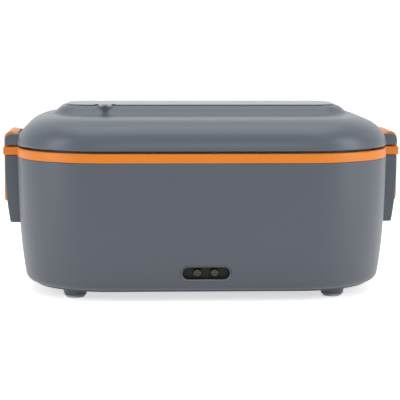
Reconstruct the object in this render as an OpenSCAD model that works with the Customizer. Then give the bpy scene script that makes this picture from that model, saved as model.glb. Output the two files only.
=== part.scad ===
// Electric lunch box: a heated base with a lift-out steel tub, under a domed lid held by two clips.
// X runs along the length, the inlet side faces -Y, Z is up, and the origin is on the table.
// Every outline is the rim's outline at some offset, so walls are profiles drawn as (offset, height).

/* [Rim outline] */
// Length over the rim, without the ears
rim_length = 222; // [205:1:240]
// Width over the rim
rim_width = 168; // [155:1:185]
// Radius of the four rim corners
corner_r = 56; // [50:1:58]

/* [Base casing] */
// Height of the base's underside above the table
foot_h = 5.4; // [4:0.1:8]
// Height of the bottom cover's visible edge
cover_edge_h = 1.1; // [0.8:0.1:2]
// Height of the casing's top edge above the table
casing_top = 81.1; // [76:0.1:90]
// Wall of the casing
casing_wall = 2.2; // [1.8:0.1:3]
// How far the casing wall leans in by its draft, from top to bottom
casing_draft = 1.3; // [0.6:0.1:3]
// How much further the wall curves in near the bottom
casing_belly = 4.2; // [2:0.1:6]
// Radius of the casing's bottom edge
bottom_round = 6; // [4:0.5:8]
// Width of the flange inside the casing's bottom edge
bottom_flange_w = 5; // [4:0.5:7]

/* [Ears and clips] */
// Width of an ear along the short side
ear_w = 50; // [46:1:56]
// How far an ear's outer face stands out of the rim
ear_out = 8; // [7.4:0.2:10]
// Height of the base ears' lower end
ear_bottom = 40.2; // [34:0.5:48]
// How far the base ears curve in towards their lower end
ear_tuck = 3; // [1:0.5:4]
// Radius of the ears' upright edges
ear_round = 2.4; // [1:0.2:3]
// How far the orange ear stands out beyond the grey ones
ring_ear_proud = 1; // [0.4:0.1:1.4]
// Width of a clip
clip_w = 40; // [36:1:42]
// Side gap between a clip and the ears' cheeks
clip_gap = 0.5; // [0.3:0.1:0.8]
// Thickness of a clip's plate
clip_t = 3; // [2.4:0.1:3.4]
// Height of a clip's free tip
clip_tip = 52.5; // [48:0.5:60]
// Radius of a clip's knuckle
knuckle_r = 4; // [3.6:0.1:4.2]
// Radius of the moulded trunnions that a clip turns on
trunnion_r = 1.2; // [0.9:0.1:1.3]
// Radial running clearance of the trunnions and hinge pins
run_gap = 0.08; // [0.04:0.01:0.1]
// How far the catch ledge stands out of the rim
catch_w = 3.2; // [2.6:0.1:3.6]
// Gap between the hook and the ledge above it
hook_gap = 0.4; // [0.3:0.1:0.6]

/* [Ring and liner] */
// Height of the orange ring
ring_h = 5.5; // [4.5:0.1:7]
// Width of the ring's raised lip
ring_lip_w = 4.8; // [4:0.1:5.5]
// Wall of the liner basin
liner_wall = 2; // [1.6:0.1:2.6]
// Height of the ledge, above the casing, that carries the tub's rim
ledge_h = 2; // [1.6:0.1:2.6]
// Height of the liner floor's upper face above the table
liner_floor_top = 27; // [25:0.5:30]

/* [Tub] */
// Sheet thickness of the steel tub
tub_t = 0.8; // [0.6:0.1:1]
// Gap between the tub's wall and the liner
tub_gap = 0.8; // [0.5:0.1:1.2]
// Gap between the tub's floor and the heating plate
tub_seat_gap = 0.3; // [0.2:0.05:0.4]
// Draft of the tub and the basin over their height
tub_draft = 1.4; // [0.8:0.1:2.5]
// Radius of the tub's bottom edge
tub_round = 9; // [6:0.5:12]
// Width of the tub's hemmed rim
tub_rim_w = 6.8; // [6.2:0.1:7.2]
// Gap between the ring's lip and the tub's hemmed rim
hem_gap = 4; // [3:0.1:5]

/* [Lid] */
// Shadow gap between the ring and the lid
lid_gap = 1.4; // [1:0.1:2]
// Wall of the lid
lid_wall = 2.2; // [1.8:0.1:2.8]
// How far in the lid's rounded edge reaches
lid_edge_w = 24; // [20:0.5:28]
// Height of the lid's rounded edge
lid_edge_h = 17; // [14:0.5:20]
// Height of a lid ear
lid_ear_h = 6.2; // [6:0.1:7]
// Width of the gasket
seal_w = 5.6; // [5:0.1:6]
// Height of the gasket
seal_h = 4.1; // [3.6:0.1:4.4]

/* [Compartment and its cover] */
// Length of the flat cover
cover_l = 164; // [150:1:170]
// Width of the flat cover
cover_w = 46; // [42:1:52]
// Corner radius of the cover
cover_r = 14; // [10:0.5:16]
// Thickness of the cover
cover_t = 2; // [1.8:0.1:2.6]
// How far the cover stands out of the platform
cover_proud = 0.9; // [0.5:0.1:1.2]
// Gap round the cover
cover_gap = 0.4; // [0.3:0.1:0.6]
// Height of the platform above the lid's crown
platform_h = 5.1; // [4:0.1:6.5]
// Width of the platform's sloping foot
platform_foot_w = 9.2; // [7:0.2:12]
// Width of the ledge that carries the cover
cover_ledge_w = 5; // [4:0.25:6]
// Depth of the compartment below the cover
pocket_depth = 12.4; // [8:0.2:13]
// Radius of the cover's hinge barrel
barrel_r = 1.4; // [1.3:0.1:1.6]
// Radius of the cover's hinge pins
pin_r = 0.8; // [0.6:0.1:0.9]
// Distance of a hinge lug from the cover's short side
lug_in = 20; // [17:0.5:26]

/* [Steam vent] */
// Distance of the vent from the cover's short side
vent_in = 23.5; // [22:0.5:40]
// Radius of the vent plug's head
vent_head_r = 4; // [3.6:0.1:4.4]
// Thickness of the vent plug's head
vent_head_h = 1.9; // [1.6:0.1:3]
// Radius of the vent bore
vent_bore_r = 2.5; // [2:0.1:3]

/* [Inlet] */
// Length of the inlet's opening
inlet_l = 29.5; // [27:0.5:32]
// Height of the inlet's opening
inlet_h = 9; // [8:0.2:10]
// Height of the inlet's centre above the table
inlet_z = 17.2; // [16.5:0.1:18.5]
// Distance between the contact pins
pin_pitch = 10; // [9.6:0.1:11]
// Radius of a contact pin
contact_r = 2.5; // [2:0.1:2.6]
// Depth of the recess round the pins
inlet_depth = 9; // [8:0.2:10]

/* [Heater] */
// Radius of the heating plate
plate_r = 54; // [48:1:58]
// Thickness of the heating plate
plate_t = 2.1; // [1.8:0.1:3]
// Width of the seal under the plate's edge
plate_seal_w = 3.8; // [3:0.1:5]
// Thickness of that seal
plate_seal_t = 0.8; // [0.6:0.1:1.2]
// Thickness of the mica heater
element_t = 1.4; // [1:0.1:2]
// Gap between the mica heater and the liner floor's hole
element_gap = 6.2; // [5:0.1:10]
// Thickness of the clamp disc
clamp_t = 1.2; // [1:0.1:1.6]
// Distance of the clamp screws from the clamp's edge
clamp_screw_in = 8; // [6:0.5:12]

/* [Feet and screws] */
// Distance of the feet from the centre, along the length
foot_x = 76; // [66:1:77]
// Distance of the feet from the centre, across the width
foot_y = 56; // [46:1:56]
// Radius of a rubber foot
foot_r = 5.6; // [4.5:0.1:6]
// Height of a rubber foot below its boss
foot_pad_h = 1.5; // [1:0.1:2.5]
// Radius of a self-tapping screw's shank
screw_r = 1.4; // [1.2:0.1:1.6]
// Distance of the bottom screws from the centre, along the length
bottom_screw_x = 68; // [60:1:70]
// Distance of the bottom screws from the centre, across the width
bottom_screw_y = 36; // [30:1:40]

/* [Hidden] */
$fn = 96;

grey = [0.38, 0.4, 0.43];
orange = [0.93, 0.51, 0.2];
steel = [0.78, 0.78, 0.76];
dark = [0.13, 0.13, 0.13];
silicone = [0.8, 0.8, 0.78];
panel_grey = [0.72, 0.73, 0.74];

fit_gap = 0.3;
press_gap = 0.02;
eps = 0.01;
edge_r = 0.9;

// Rim outline: a rounded rectangle
half_l = rim_length / 2;
ear_reach = half_l + ear_out;
half_w = rim_width / 2;
corner_x = half_l - corner_r;
corner_y = half_w - corner_r;

// Heights
casing_bottom = foot_h + cover_edge_h;
ring_top = casing_top + ring_h;
ledge_z = casing_top + ledge_h;
ring_ear_top = ring_top - 0.4;
lid_bottom = ring_top + lid_gap;
lid_ear_bottom = ring_ear_top + lid_gap / 2;
lid_ear_top = lid_ear_bottom + lid_ear_h;
edge_start = lid_bottom + 0.5;
crown_z = edge_start + lid_edge_h;
platform_z = crown_z + platform_h;
cover_top = platform_z + cover_proud;
cover_bottom = cover_top - cover_t;
pocket_floor = cover_bottom - pocket_depth;

// Casing wall
belly_power = 3.2;
wall_steps = 10;
round_steps = 8;
round_start = 12;
bottom_arc_z = casing_bottom + bottom_round * (1 - sin(round_start));
bottom_arc_x = casing_inset(bottom_arc_z) + bottom_round * cos(round_start);
flange_inset = bottom_arc_x + bottom_flange_w;

// Liner and tub
hem_t = 2 * tub_t;
rim_top = ledge_z + hem_t;
lip_slope = 0.6;
hem_inset = ring_lip_w + lip_slope + hem_gap;
tub_inset = hem_inset + tub_rim_w;
basin_inset = tub_inset - tub_gap;
plate_top = liner_floor_top + plate_seal_t + plate_t;
tub_bottom = plate_top + tub_seat_gap;
plate_bottom = liner_floor_top + plate_seal_t;
plate_hole_r = plate_r - plate_seal_w;

// Lid inside
seal_outer = hem_inset + 0.6;
seal_inner = seal_outer + seal_w;
channel_t = 1.1;
seal_top = rim_top + seal_h;
channel_top = seal_top + channel_t;
channel_outer_lip = 0.6;
channel_inner_lip = 1.4;
panel_t = 1.3;

// Clips, drawn at the +X end
channel_w = clip_w + 2 * clip_gap;
ear_root = half_l - 1.6;
clip_proud = 0.6;
clip_face = ear_reach + clip_proud;
pivot_drop = 2.1;
pivot_x = clip_face - knuckle_r;
pivot_z = lid_ear_top - pivot_drop;
trunnion_l = 3;
ear_corner_r = 3.8;
catch_x = half_l + catch_w;
hook_top = casing_top - hook_gap;
hook_x = half_l + 1.6;

// Cover hinge
hinge_y = cover_w / 2 - barrel_r;
hinge_z = cover_top - barrel_r;
lug_x = cover_l / 2 - lug_in;
lug_w = 3.6;
lug_side_gap = 0.3;
hinge_relief_r = barrel_r + 0.8;
pin_l = 13;

// Vent
vent_x = cover_l / 2 - vent_in;
vent_y = cover_w / 2 + 0.5;
vent_boss_r = vent_head_r + 1;
bay_half = vent_boss_r + 1.2;
bay_depth = cover_ledge_w + 0.2;
bay_r = 0.8;
pull_w = 3.4;
pull_out = 2.2;
vent_seat_z = platform_z - 0.7;

// Inlet
inlet_face_y = -(half_w - casing_inset(inlet_z)) + 0.1;
socket_lip = 0.9;
recess_floor_y = inlet_face_y + inlet_depth;
socket_block_front = -(half_w - casing_inset(casing_bottom + bottom_round) - casing_wall) + 1;
socket_block_back = recess_floor_y + 5;
inlet_boss_y = socket_block_front + 4;
socket_block_h = 13;
inlet_screw_x = inlet_l / 2 + 7.4;
inlet_screw_hole_r = screw_r - 0.2;
inlet_screw_l = 5.6;
inlet_screw_depth = 5;
inlet_flange_t = 2;
inlet_flange_h = 8;
inlet_flange_end = 4;
inlet_block_w = inlet_l + 3.2;
screw_play = 0.2;
collar_r = contact_r + 0.9;
collar_y = recess_floor_y - 3;
pin_tip_y = inlet_face_y + 1.2;
pin_tip_round = 0.9;
pin_shank_r = contact_r - 0.4;
pin_shank_end_y = socket_block_back - 1;
pin_tail_r = 1.3;
tail_end_y = socket_block_back + 6;
sleeve_back = 4;
sleeve_front = 2.6;
sleeve_t = 0.9;

// Underside
post_r = 3.6;
floor_plate_top = casing_bottom + casing_wall;
screw_seat_z = foot_h + 1.2;
screw_recess_r = 3.2;
bottom_screw_l = 12;
boss_step = 0.9;
slots = 9;
slot_pitch = 8;
slot_w = 2;
slot_l = 14;
slot_y = 32;
field_l = 84;
field_w = 44;
field_r = 4;
field_depth = 0.4;

// Screw heads
pan_head_r = 2.8;
pan_head_h = 1.7;
flat_head_h = 1.1;

// Heater stack, from the plate down
element_r = plate_hole_r - element_gap;
clamp_slot_in = 20;
clamp_slot_l = 14;
clamp_slot_w = 6;
clamp_screw_ring = element_r - clamp_screw_in;
element_z = plate_bottom - element_t;
clamp_z = element_z - clamp_t;
thermostat_r = 8;
thermostat_h = 7;
thermostat_flange_t = 0.8;
thermostat_screw_x = 10.5;
thermostat_screw_r = 1;
thermostat_flange_w = 8;
blade_l = 6;
blade_w = 4;
blade_t = 0.8;
blade_up = 1.2;
blade_end_y = 2 - thermostat_r - blade_l;
terminal_x = 4;
fuse_x = 26;
fuse_r = 1.9;
fuse_l = 26;
strap_t = 0.8;
strap_w = 6;
strap_foot = 4;
fuse_z = clamp_z - fuse_r - fit_gap;
wire_r = 1.1;
tab_x = 9;
tab_w = 5;
tab_end_y = element_r + 3;

function casing_depth(z) = (casing_top - z) / (casing_top - casing_bottom);
function casing_inset(z) =
    casing_draft * casing_depth(z) + casing_belly * pow(max(casing_depth(z), 0), belly_power);
function arc(centre, r, from, to, steps) =
    [for (i = [0 : steps]) centre + r * [cos(from + (to - from) * i / steps), sin(from + (to - from) * i / steps)]];
function elliptic(centre, a, b, from, to, steps) =
    [for (i = [0 : steps]) centre + [a * cos(from + (to - from) * i / steps), b * sin(from + (to - from) * i / steps)]];
function reversed(list) = [for (i = [len(list) - 1 : -1 : 0]) list[i]];
function casing_line(inward) =
    [for (i = [0 : wall_steps])
        let (z = casing_top + (bottom_arc_z - casing_top) * i / wall_steps)
        [-casing_inset(z) - inward, z]];
function strip_w(inset) = 4 + (corner_r - inset - 3) * (1 - cos(45));
function octagon(inset) =
    let (r = corner_r - inset, p = [corner_x + r, corner_y], q = [corner_x, corner_y + r])
    [p, q, [-q.x, q.y], [-p.x, p.y], [-p.x, -p.y], [-q.x, -q.y], [q.x, -q.y], [p.x, -p.y]];

// Carries a profile (offset, height) round a rounded rectangle
module along_round_rect(hx, hy, r) {
    for (m = [0, 1]) mirror([m, 0, 0])
        for (n = [0, 1]) mirror([0, n, 0])
            translate([hx - r, hy - r, 0])
                rotate_extrude(angle = 90)
                    translate([r, 0])
                        children();
    for (turn = [0, 180]) rotate([0, 0, turn])
        translate([hx, 0, 0])
            rotate([90, 0, 0])
                linear_extrude(2 * (hy - r), center = true)
                    children();
    for (turn = [90, 270]) rotate([0, 0, turn])
        translate([hy, 0, 0])
            rotate([90, 0, 0])
                linear_extrude(2 * (hx - r), center = true)
                    children();
}

// Carries a profile (offset, height) round the rim outline
module along_rim() {
    along_round_rect(half_l, half_w, corner_r) children();
}

// Fills the middle of a floor whose edge strip is already there
module rim_fill(inset, z0, z1) {
    translate([0, 0, z0])
        linear_extrude(z1 - z0)
            polygon(octagon(inset));
}

// Solid plate with the rim's outline, inset all round
module rim_slab(inset, z0, z1) {
    along_rim()
        translate([-inset - strip_w(inset), z0])
            square([strip_w(inset), z1 - z0]);
    rim_fill(inset + 3, z0, z1);
}

module round_rect_plate(hx, hy, r, z0, z1) {
    translate([0, 0, z0])
        linear_extrude(z1 - z0)
            polygon(concat(
                arc([hx - r, hy - r], r, 0, 90, 12),
                arc([r - hx, hy - r], r, 90, 180, 12),
                arc([r - hx, r - hy], r, 180, 270, 12),
                arc([hx - r, r - hy], r, 270, 360, 12)));
}

// Bar of a profile (x, z), centred on Y
module across(width) {
    rotate([90, 0, 0])
        linear_extrude(width, center = true)
            children();
}

// Cylinder along Y between two places
module rod_y(x, z, r, y0, y1) {
    translate([x, y0, z])
        rotate([-90, 0, 0])
            cylinder(h = y1 - y0, r = r);
}

module both_ends() {
    children();
    mirror([1, 0, 0]) children();
}

// The two cheeks of an ear seen from above, at the +X end
module cheeks_plan(reach) {
    for (n = [0, 1]) mirror([0, n])
        polygon(concat(
            [[ear_root, channel_w / 2], [reach, channel_w / 2]],
            arc([reach - ear_round, ear_w / 2 - ear_round], ear_round, 0, 90, 6),
            [[ear_root, ear_w / 2]]));
}

module cheeks(reach, z0, z1) {
    translate([0, 0, z0])
        linear_extrude(z1 - z0)
            cheeks_plan(reach);
}

// Bar with round ends along Y between two places
module obround_y(length, height, z, y0, y1) {
    translate([0, y0, z])
        rotate([-90, 0, 0])
            linear_extrude(y1 - y0) {
                square([length - height, height], center = true);
                for (s = [-1, 1]) translate([s * (length - height) / 2, 0]) circle(d = height);
            }
}

function base_ear_side() =
    let (tuck_from = casing_top - 6)
    concat(
        [[ear_root - 1, casing_top], [ear_reach, casing_top]],
        [for (i = [0 : 8])
            let (t = i / 8)
            [ear_reach - ear_tuck * t * t, tuck_from + (ear_bottom - tuck_from) * t]],
        [[ear_root - 1, ear_bottom]]);

module outer_shell() color(grey) {
    difference() {
        union() {
            along_rim() polygon(concat(
                casing_line(0),
                arc([-bottom_arc_x, bottom_arc_z + bottom_round * sin(round_start)], bottom_round,
                    -round_start, -90, round_steps),
                [[-flange_inset, casing_bottom], [-flange_inset, casing_bottom + casing_wall]],
                arc([-bottom_arc_x, bottom_arc_z + bottom_round * sin(round_start)],
                    bottom_round - casing_wall, -90, -round_start, round_steps),
                reversed(casing_line(casing_wall))));
            both_ends() intersection() {
                cheeks(ear_reach, ear_bottom, casing_top);
                across(ear_w + 2) polygon(base_ear_side());
            }
            for (s = [-1, 1])
                rod_y(s * inlet_screw_x, inlet_z, 3,
                    -(half_w - casing_inset(inlet_z) - casing_wall / 2), inlet_boss_y);
        }
        obround_y(inlet_l, inlet_h, inlet_z, -half_w, socket_block_front);
        for (s = [-1, 1])
            rod_y(s * inlet_screw_x, inlet_z, inlet_screw_hole_r, inlet_boss_y - inlet_screw_depth,
                inlet_boss_y + eps);
    }
}

module post_places() {
    for (x = [-1, 1], y = [-1, 1])
        translate([x * bottom_screw_x, y * bottom_screw_y, 0])
            children();
}

module liner_frame() color(orange) {
    along_rim() polygon([
        [0, casing_top],
        [0, ring_top - edge_r],
        [-edge_r * (1 - cos(45)), ring_top - edge_r * (1 - sin(45))],
        [-edge_r, ring_top],
        [-ring_lip_w, ring_top],
        [-ring_lip_w - lip_slope, ledge_z],
        [-ring_lip_w - lip_slope, casing_top]]);
    both_ends() {
        cheeks(ear_reach + ring_ear_proud, casing_top, ring_ear_top);
        translate([ear_root, -channel_w / 2 - 0.5, casing_top])
            cube([catch_x - ear_root, channel_w + 1, ring_h - 1]);
    }
}

// Basin whose flange sits inside the ring and carries the tub's rim
module liner_basin() color(orange) {
    floor_inset = basin_inset + tub_draft;
    outer_inset = basin_inset - liner_wall;
    difference() {
        union() {
            along_rim() polygon([
                [-ring_lip_w - lip_slope, casing_top],
                [-ring_lip_w - lip_slope, ledge_z],
                [-basin_inset, ledge_z],
                [-floor_inset, liner_floor_top + 2],
                [-floor_inset - 0.6, liner_floor_top + 0.6],
                [-floor_inset - 2, liner_floor_top],
                [-floor_inset - strip_w(floor_inset) - 2, liner_floor_top],
                [-floor_inset - strip_w(floor_inset) - 2, liner_floor_top - liner_wall],
                [-floor_inset - 1, liner_floor_top - liner_wall],
                [-outer_inset - tub_draft, liner_floor_top],
                [-outer_inset, casing_top]]);
            rim_fill(floor_inset + 4, liner_floor_top - liner_wall, liner_floor_top);
            post_places()
                translate([0, 0, floor_plate_top + fit_gap])
                    cylinder(h = liner_floor_top - liner_wall - floor_plate_top - fit_gap + eps, r = post_r);
        }
        translate([0, 0, liner_floor_top - 5])
            cylinder(h = 10, r = plate_hole_r);
        post_places()
            translate([0, 0, casing_bottom])
                cylinder(h = bottom_screw_l + 2, r = screw_r + press_gap);
    }
}

module food_container() color(steel) {
    floor_inset = tub_inset + tub_draft;
    arc_centre = [-floor_inset - tub_round, tub_bottom + tub_round];
    strip_in = -floor_inset - tub_round - strip_w(floor_inset + tub_round);
    along_rim() polygon(concat(
        [[-hem_inset, ledge_z], [-hem_inset, rim_top], [-tub_inset - tub_t, rim_top]],
        arc(arc_centre, tub_round - tub_t, 0, -90, 8),
        [[strip_in, tub_bottom + tub_t], [strip_in, tub_bottom]],
        arc(arc_centre, tub_round, -90, 0, 8),
        [[-tub_inset, rim_top - tub_t], [-hem_inset - 2, rim_top - tub_t], [-hem_inset - 2, ledge_z]]));
    rim_fill(floor_inset + tub_round + 3, tub_bottom, tub_bottom + tub_t);
}

// Height of the platform's S-shaped foot at a distance outside the cover's outline
function platform_slope(t) = platform_z + (crown_z - 0.7 - platform_z) * (1 - cos(180 * t)) / 2;
function platform_line(outward, down) =
    [for (i = [0 : 10]) [outward + 0.9 + platform_foot_w * i / 10, platform_slope(i / 10) - down]];

module hinge_bar(r, x0, x1) {
    translate([x0, hinge_y, hinge_z])
        rotate([0, 90, 0])
            cylinder(h = x1 - x0, r = r);
}

module lid_shell() color(grey) {
    edge = [-lid_edge_w, edge_start];
    hx = cover_l / 2;
    hy = cover_w / 2;
    deck_in = lid_edge_w + strip_w(lid_edge_w);
    open_out = platform_foot_w - 1;
    difference() {
        union() {
            difference() {
                union() {
                    along_rim() polygon(concat(
                        [[-0.5, lid_bottom], [0, edge_start]],
                        elliptic(edge, lid_edge_w, lid_edge_h, 0, 90, 14),
                        [[-deck_in, crown_z], [-deck_in, crown_z - lid_wall]],
                        elliptic(edge, lid_edge_w - lid_wall, lid_edge_h - lid_wall, 90, 0, 14),
                        [[-lid_wall, lid_bottom]]));
                    rim_fill(lid_edge_w + 3, crown_z - lid_wall, crown_z);
                }
                round_rect_plate(hx + open_out, hy + open_out, cover_r + open_out,
                    crown_z - lid_wall - 1, crown_z + 1);
            }
            along_round_rect(hx, hy, cover_r) polygon(concat(
                [[cover_gap, cover_bottom], [cover_gap, platform_z]],
                platform_line(0, 0),
                [[platform_foot_w + 0.9, crown_z - lid_wall], [open_out - 1.6, crown_z - lid_wall]],
                reversed([for (i = [0 : 6]) platform_line(-1.6, lid_wall)[i]]),
                [[lid_wall - cover_ledge_w, platform_slope(0) - lid_wall - 0.7],
                    [lid_wall - cover_ledge_w, pocket_floor - lid_wall],
                    [-cover_ledge_w, pocket_floor - lid_wall],
                    [-cover_ledge_w, cover_bottom]]));
            round_rect_plate(hx - cover_ledge_w + 1, hy - cover_ledge_w + 1, cover_r - cover_ledge_w + 1,
                pocket_floor - lid_wall, pocket_floor);
            hinge_block();
            vent_boss();
            both_ends() lid_ear();
            lid_posts();
        }
        hinge_bar(hinge_relief_r, lug_x + lug_w / 2 - eps, hx - cover_r / 2);
        hinge_bar(hinge_relief_r, -lug_x + lug_w / 2, lug_x - lug_w / 2);
        hinge_bar(hinge_relief_r, -hx + cover_r / 2, -lug_x - lug_w / 2 + eps);
        hinge_bar(pin_r + run_gap, -hx, hx);
        translate([-vent_x, -vent_y, lid_bottom])
            cylinder(h = cover_top, r = vent_bore_r);
        translate([-vent_x, -vent_y, vent_seat_z])
            cylinder(h = 8, r = vent_head_r + fit_gap);
        both_ends()
            for (s = [-1, 1]) mirror([0, s < 0 ? 1 : 0, 0])
                rod_y(pivot_x, pivot_z, trunnion_r + run_gap, channel_w / 2 - 1,
                    channel_w / 2 + trunnion_l + 0.4);
    }
}

module hinge_block() {
    reach = cover_l / 2 - cover_r + 4;
    block_front = cover_w / 2 - cover_ledge_w - 1.2;
    translate([-reach, block_front, hinge_z - 5])
        cube([2 * reach, cover_w / 2 + 1.6 - block_front, cover_bottom - hinge_z + 5]);
    for (s = [-1, 1]) translate([s * lug_x - lug_w / 2, 0, 0]) {
        translate([0, hinge_y - barrel_r + 0.1, hinge_z - 4])
            cube([lug_w, 2 * barrel_r - 0.2, 4]);
        translate([0, hinge_y, hinge_z])
            rotate([0, 90, 0])
                cylinder(h = lug_w, r = barrel_r - 0.1);
    }
}

// Round boss for the steam bore, on a tongue of the platform that fills the cover's bay
module vent_boss() {
    tongue = bay_half - cover_gap;
    translate([-vent_x, -vent_y, channel_top + panel_t])
        cylinder(h = platform_z - 0.1 - channel_top - panel_t, r = vent_boss_r);
    translate([-vent_x - tongue, -cover_w / 2 - 0.9, cover_bottom - 0.5])
        cube([2 * tongue, bay_depth - cover_gap + 0.9, platform_z - cover_bottom + 0.5]);
}

module lid_posts() {
    for (x = [-1, 1], y = [-1, 1])
        translate([x * (half_l - lid_edge_w - 8), y * (half_w - lid_edge_w - 8), channel_top + panel_t])
            cylinder(h = crown_z - lid_wall / 2 - channel_top - panel_t, r = 3);
}

module lid_ear() {
    intersection() {
        cheeks(ear_reach, lid_ear_bottom, lid_ear_top);
        across(ear_w + 2) polygon(concat(
            [[ear_root - 1, lid_ear_bottom], [ear_reach, lid_ear_bottom]],
            arc([ear_reach - ear_corner_r, lid_ear_top - ear_corner_r], ear_corner_r, 0, 90, 8),
            [[ear_root - 1, lid_ear_top]]));
    }
}

// Inner panel of the lid, flat so that it wipes clean
module lid_liner() color(panel_grey)
    difference() {
        union() {
            along_rim() polygon([
                [-lid_wall - fit_gap, channel_top],
                [-lid_wall - 2 * fit_gap, channel_top + panel_t],
                [-seal_inner - strip_w(seal_inner), channel_top + panel_t],
                [-seal_inner - strip_w(seal_inner), channel_top]]);
            rim_fill(seal_inner + 3, channel_top, channel_top + panel_t);
        }
        translate([-vent_x, -vent_y, channel_top - 1])
            cylinder(h = panel_t + 2, r = vent_bore_r);
    }

// Ring under the panel whose channel holds the gasket
module seal_carrier() color(panel_grey) {
    outer = seal_outer - fit_gap;
    inner = seal_inner + fit_gap;
    along_rim() polygon([
        [-outer + channel_t, channel_top],
        [-inner - channel_t, channel_top],
        [-inner - channel_t, rim_top + channel_inner_lip],
        [-inner, rim_top + channel_inner_lip],
        [-inner, seal_top],
        [-outer, seal_top],
        [-outer, rim_top + channel_outer_lip],
        [-outer + channel_t, rim_top + channel_outer_lip]]);
}

module seal_ring() color(silicone) {
    lip = seal_w / 4;
    along_rim() polygon([
        [-seal_outer, seal_top],
        [-seal_outer, rim_top + 1],
        [-seal_outer - 0.6, rim_top],
        [-seal_outer - lip - 0.4, rim_top],
        [-seal_outer - 2 * lip, rim_top + 1.2],
        [-seal_inner + lip + 0.4, rim_top],
        [-seal_inner + 0.6, rim_top],
        [-seal_inner, rim_top + 1],
        [-seal_inner, seal_top]]);
}

module clip() {
    tip_round = 1.2;
    outline_round = 5;
    plate_in = clip_face - clip_t;
    difference() {
        intersection() {
            across(clip_w) union() {
                translate([pivot_x, pivot_z]) circle(r = knuckle_r);
                polygon(concat(
                    [[clip_face, pivot_z]],
                    arc([clip_face - tip_round, clip_tip + tip_round], tip_round, 0, -90, 4),
                    arc([plate_in + 0.6, clip_tip + 0.6], 0.6, -90, -180, 3),
                    [[plate_in, hook_top - 3.4],
                        [hook_x + 1.6, hook_top - 2.6],
                        [hook_x, hook_top - 1.4],
                        [hook_x, hook_top - 0.4],
                        [hook_x + 0.4, hook_top],
                        [plate_in, hook_top],
                        [plate_in, pivot_z]]));
            }
            rotate([90, 0, 90])
                linear_extrude(clip_face + 5)
                    polygon(concat(
                        arc([clip_w / 2 - outline_round, clip_tip + outline_round], outline_round, 0, -90, 8),
                        arc([outline_round - clip_w / 2, clip_tip + outline_round], outline_round, -90, -180, 8),
                        [[-clip_w / 2, pivot_z + knuckle_r + 1], [clip_w / 2, pivot_z + knuckle_r + 1]]));
        }
        // Thumb scoop behind the free end
        across(clip_w - 12) polygon([
            [plate_in - 1, clip_tip - 1],
            [plate_in + 1.1, clip_tip - 1],
            [plate_in - 0.01, clip_tip + 12],
            [plate_in - 1, clip_tip + 12]]);
    }
    rod_y(pivot_x, pivot_z, trunnion_r, -clip_w / 2 - clip_gap - trunnion_l, clip_w / 2 + clip_gap + trunnion_l);
}

module clip_right() color(orange) clip();
module clip_left() color(orange) mirror([1, 0, 0]) clip();

module compartment_cover() color(grey) {
    hx = cover_l / 2;
    hy = cover_w / 2;
    notch = lug_w + 2 * lug_side_gap;
    difference() {
        union() {
            round_rect_plate(hx, hy, cover_r, cover_bottom, cover_top - 0.5);
            round_rect_plate(hx - 0.5, hy - 0.5, cover_r - 0.5, cover_bottom, cover_top);
            hinge_bar(barrel_r, -hx + cover_r, hx - cover_r);
            difference() {
                round_rect_plate(hx - cover_ledge_w - 0.8, hy - cover_ledge_w - 2.4, cover_r - cover_ledge_w,
                    cover_bottom - 1.6, cover_bottom + eps);
                round_rect_plate(hx - cover_ledge_w - 2.2, hy - cover_ledge_w - 3.8,
                    cover_r - cover_ledge_w - 1.4, cover_bottom - 2, cover_bottom);
            }
        }
        for (s = [-1, 1]) translate([s * lug_x - notch / 2, hinge_y - barrel_r - 0.8, cover_bottom - 3])
            cube([notch, 10, 8]);
        hinge_bar(pin_r + press_gap, -lug_x - pin_l / 2, -lug_x + pin_l / 2);
        hinge_bar(pin_r + press_gap, lug_x - pin_l / 2, lug_x + pin_l / 2);
        translate([-vent_x, -hy, 0])
            round_rect_plate(bay_half, bay_depth, bay_r, cover_bottom - 3, cover_top + 3);
    }
}

module cover_pins() color(steel)
    for (s = [-1, 1])
        hinge_bar(pin_r, s * lug_x - pin_l / 2 + 0.2, s * lug_x + pin_l / 2 - 0.2);

module vent_plug() color(silicone)
    translate([-vent_x, -vent_y, 0]) {
        stem_r = vent_bore_r - fit_gap;
        rotate_extrude() polygon([
            [0, channel_top + panel_t + 3],
            [stem_r - 0.8, channel_top + panel_t + 3],
            [stem_r, channel_top + panel_t + 5],
            [stem_r, vent_seat_z],
            [vent_head_r, vent_seat_z],
            [vent_head_r, vent_seat_z + vent_head_h - 0.6],
            [vent_head_r - 0.6, vent_seat_z + vent_head_h],
            [vent_head_r - 1.6, vent_seat_z + vent_head_h],
            [vent_head_r - 2.2, vent_seat_z + vent_head_h - 0.5],
            [0, vent_seat_z + vent_head_h - 0.5]]);
        // Pull tab
        translate([-pull_w / 2, -vent_head_r - pull_out, vent_seat_z + vent_head_h - 0.9])
            cube([pull_w, vent_head_r + pull_out + 1.2, 1.3]);
    }

module pin_rods(r, y0, y1) {
    for (s = [-1, 1])
        rod_y(s * pin_pitch / 2, inlet_z, r, y0, y1);
}

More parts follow.
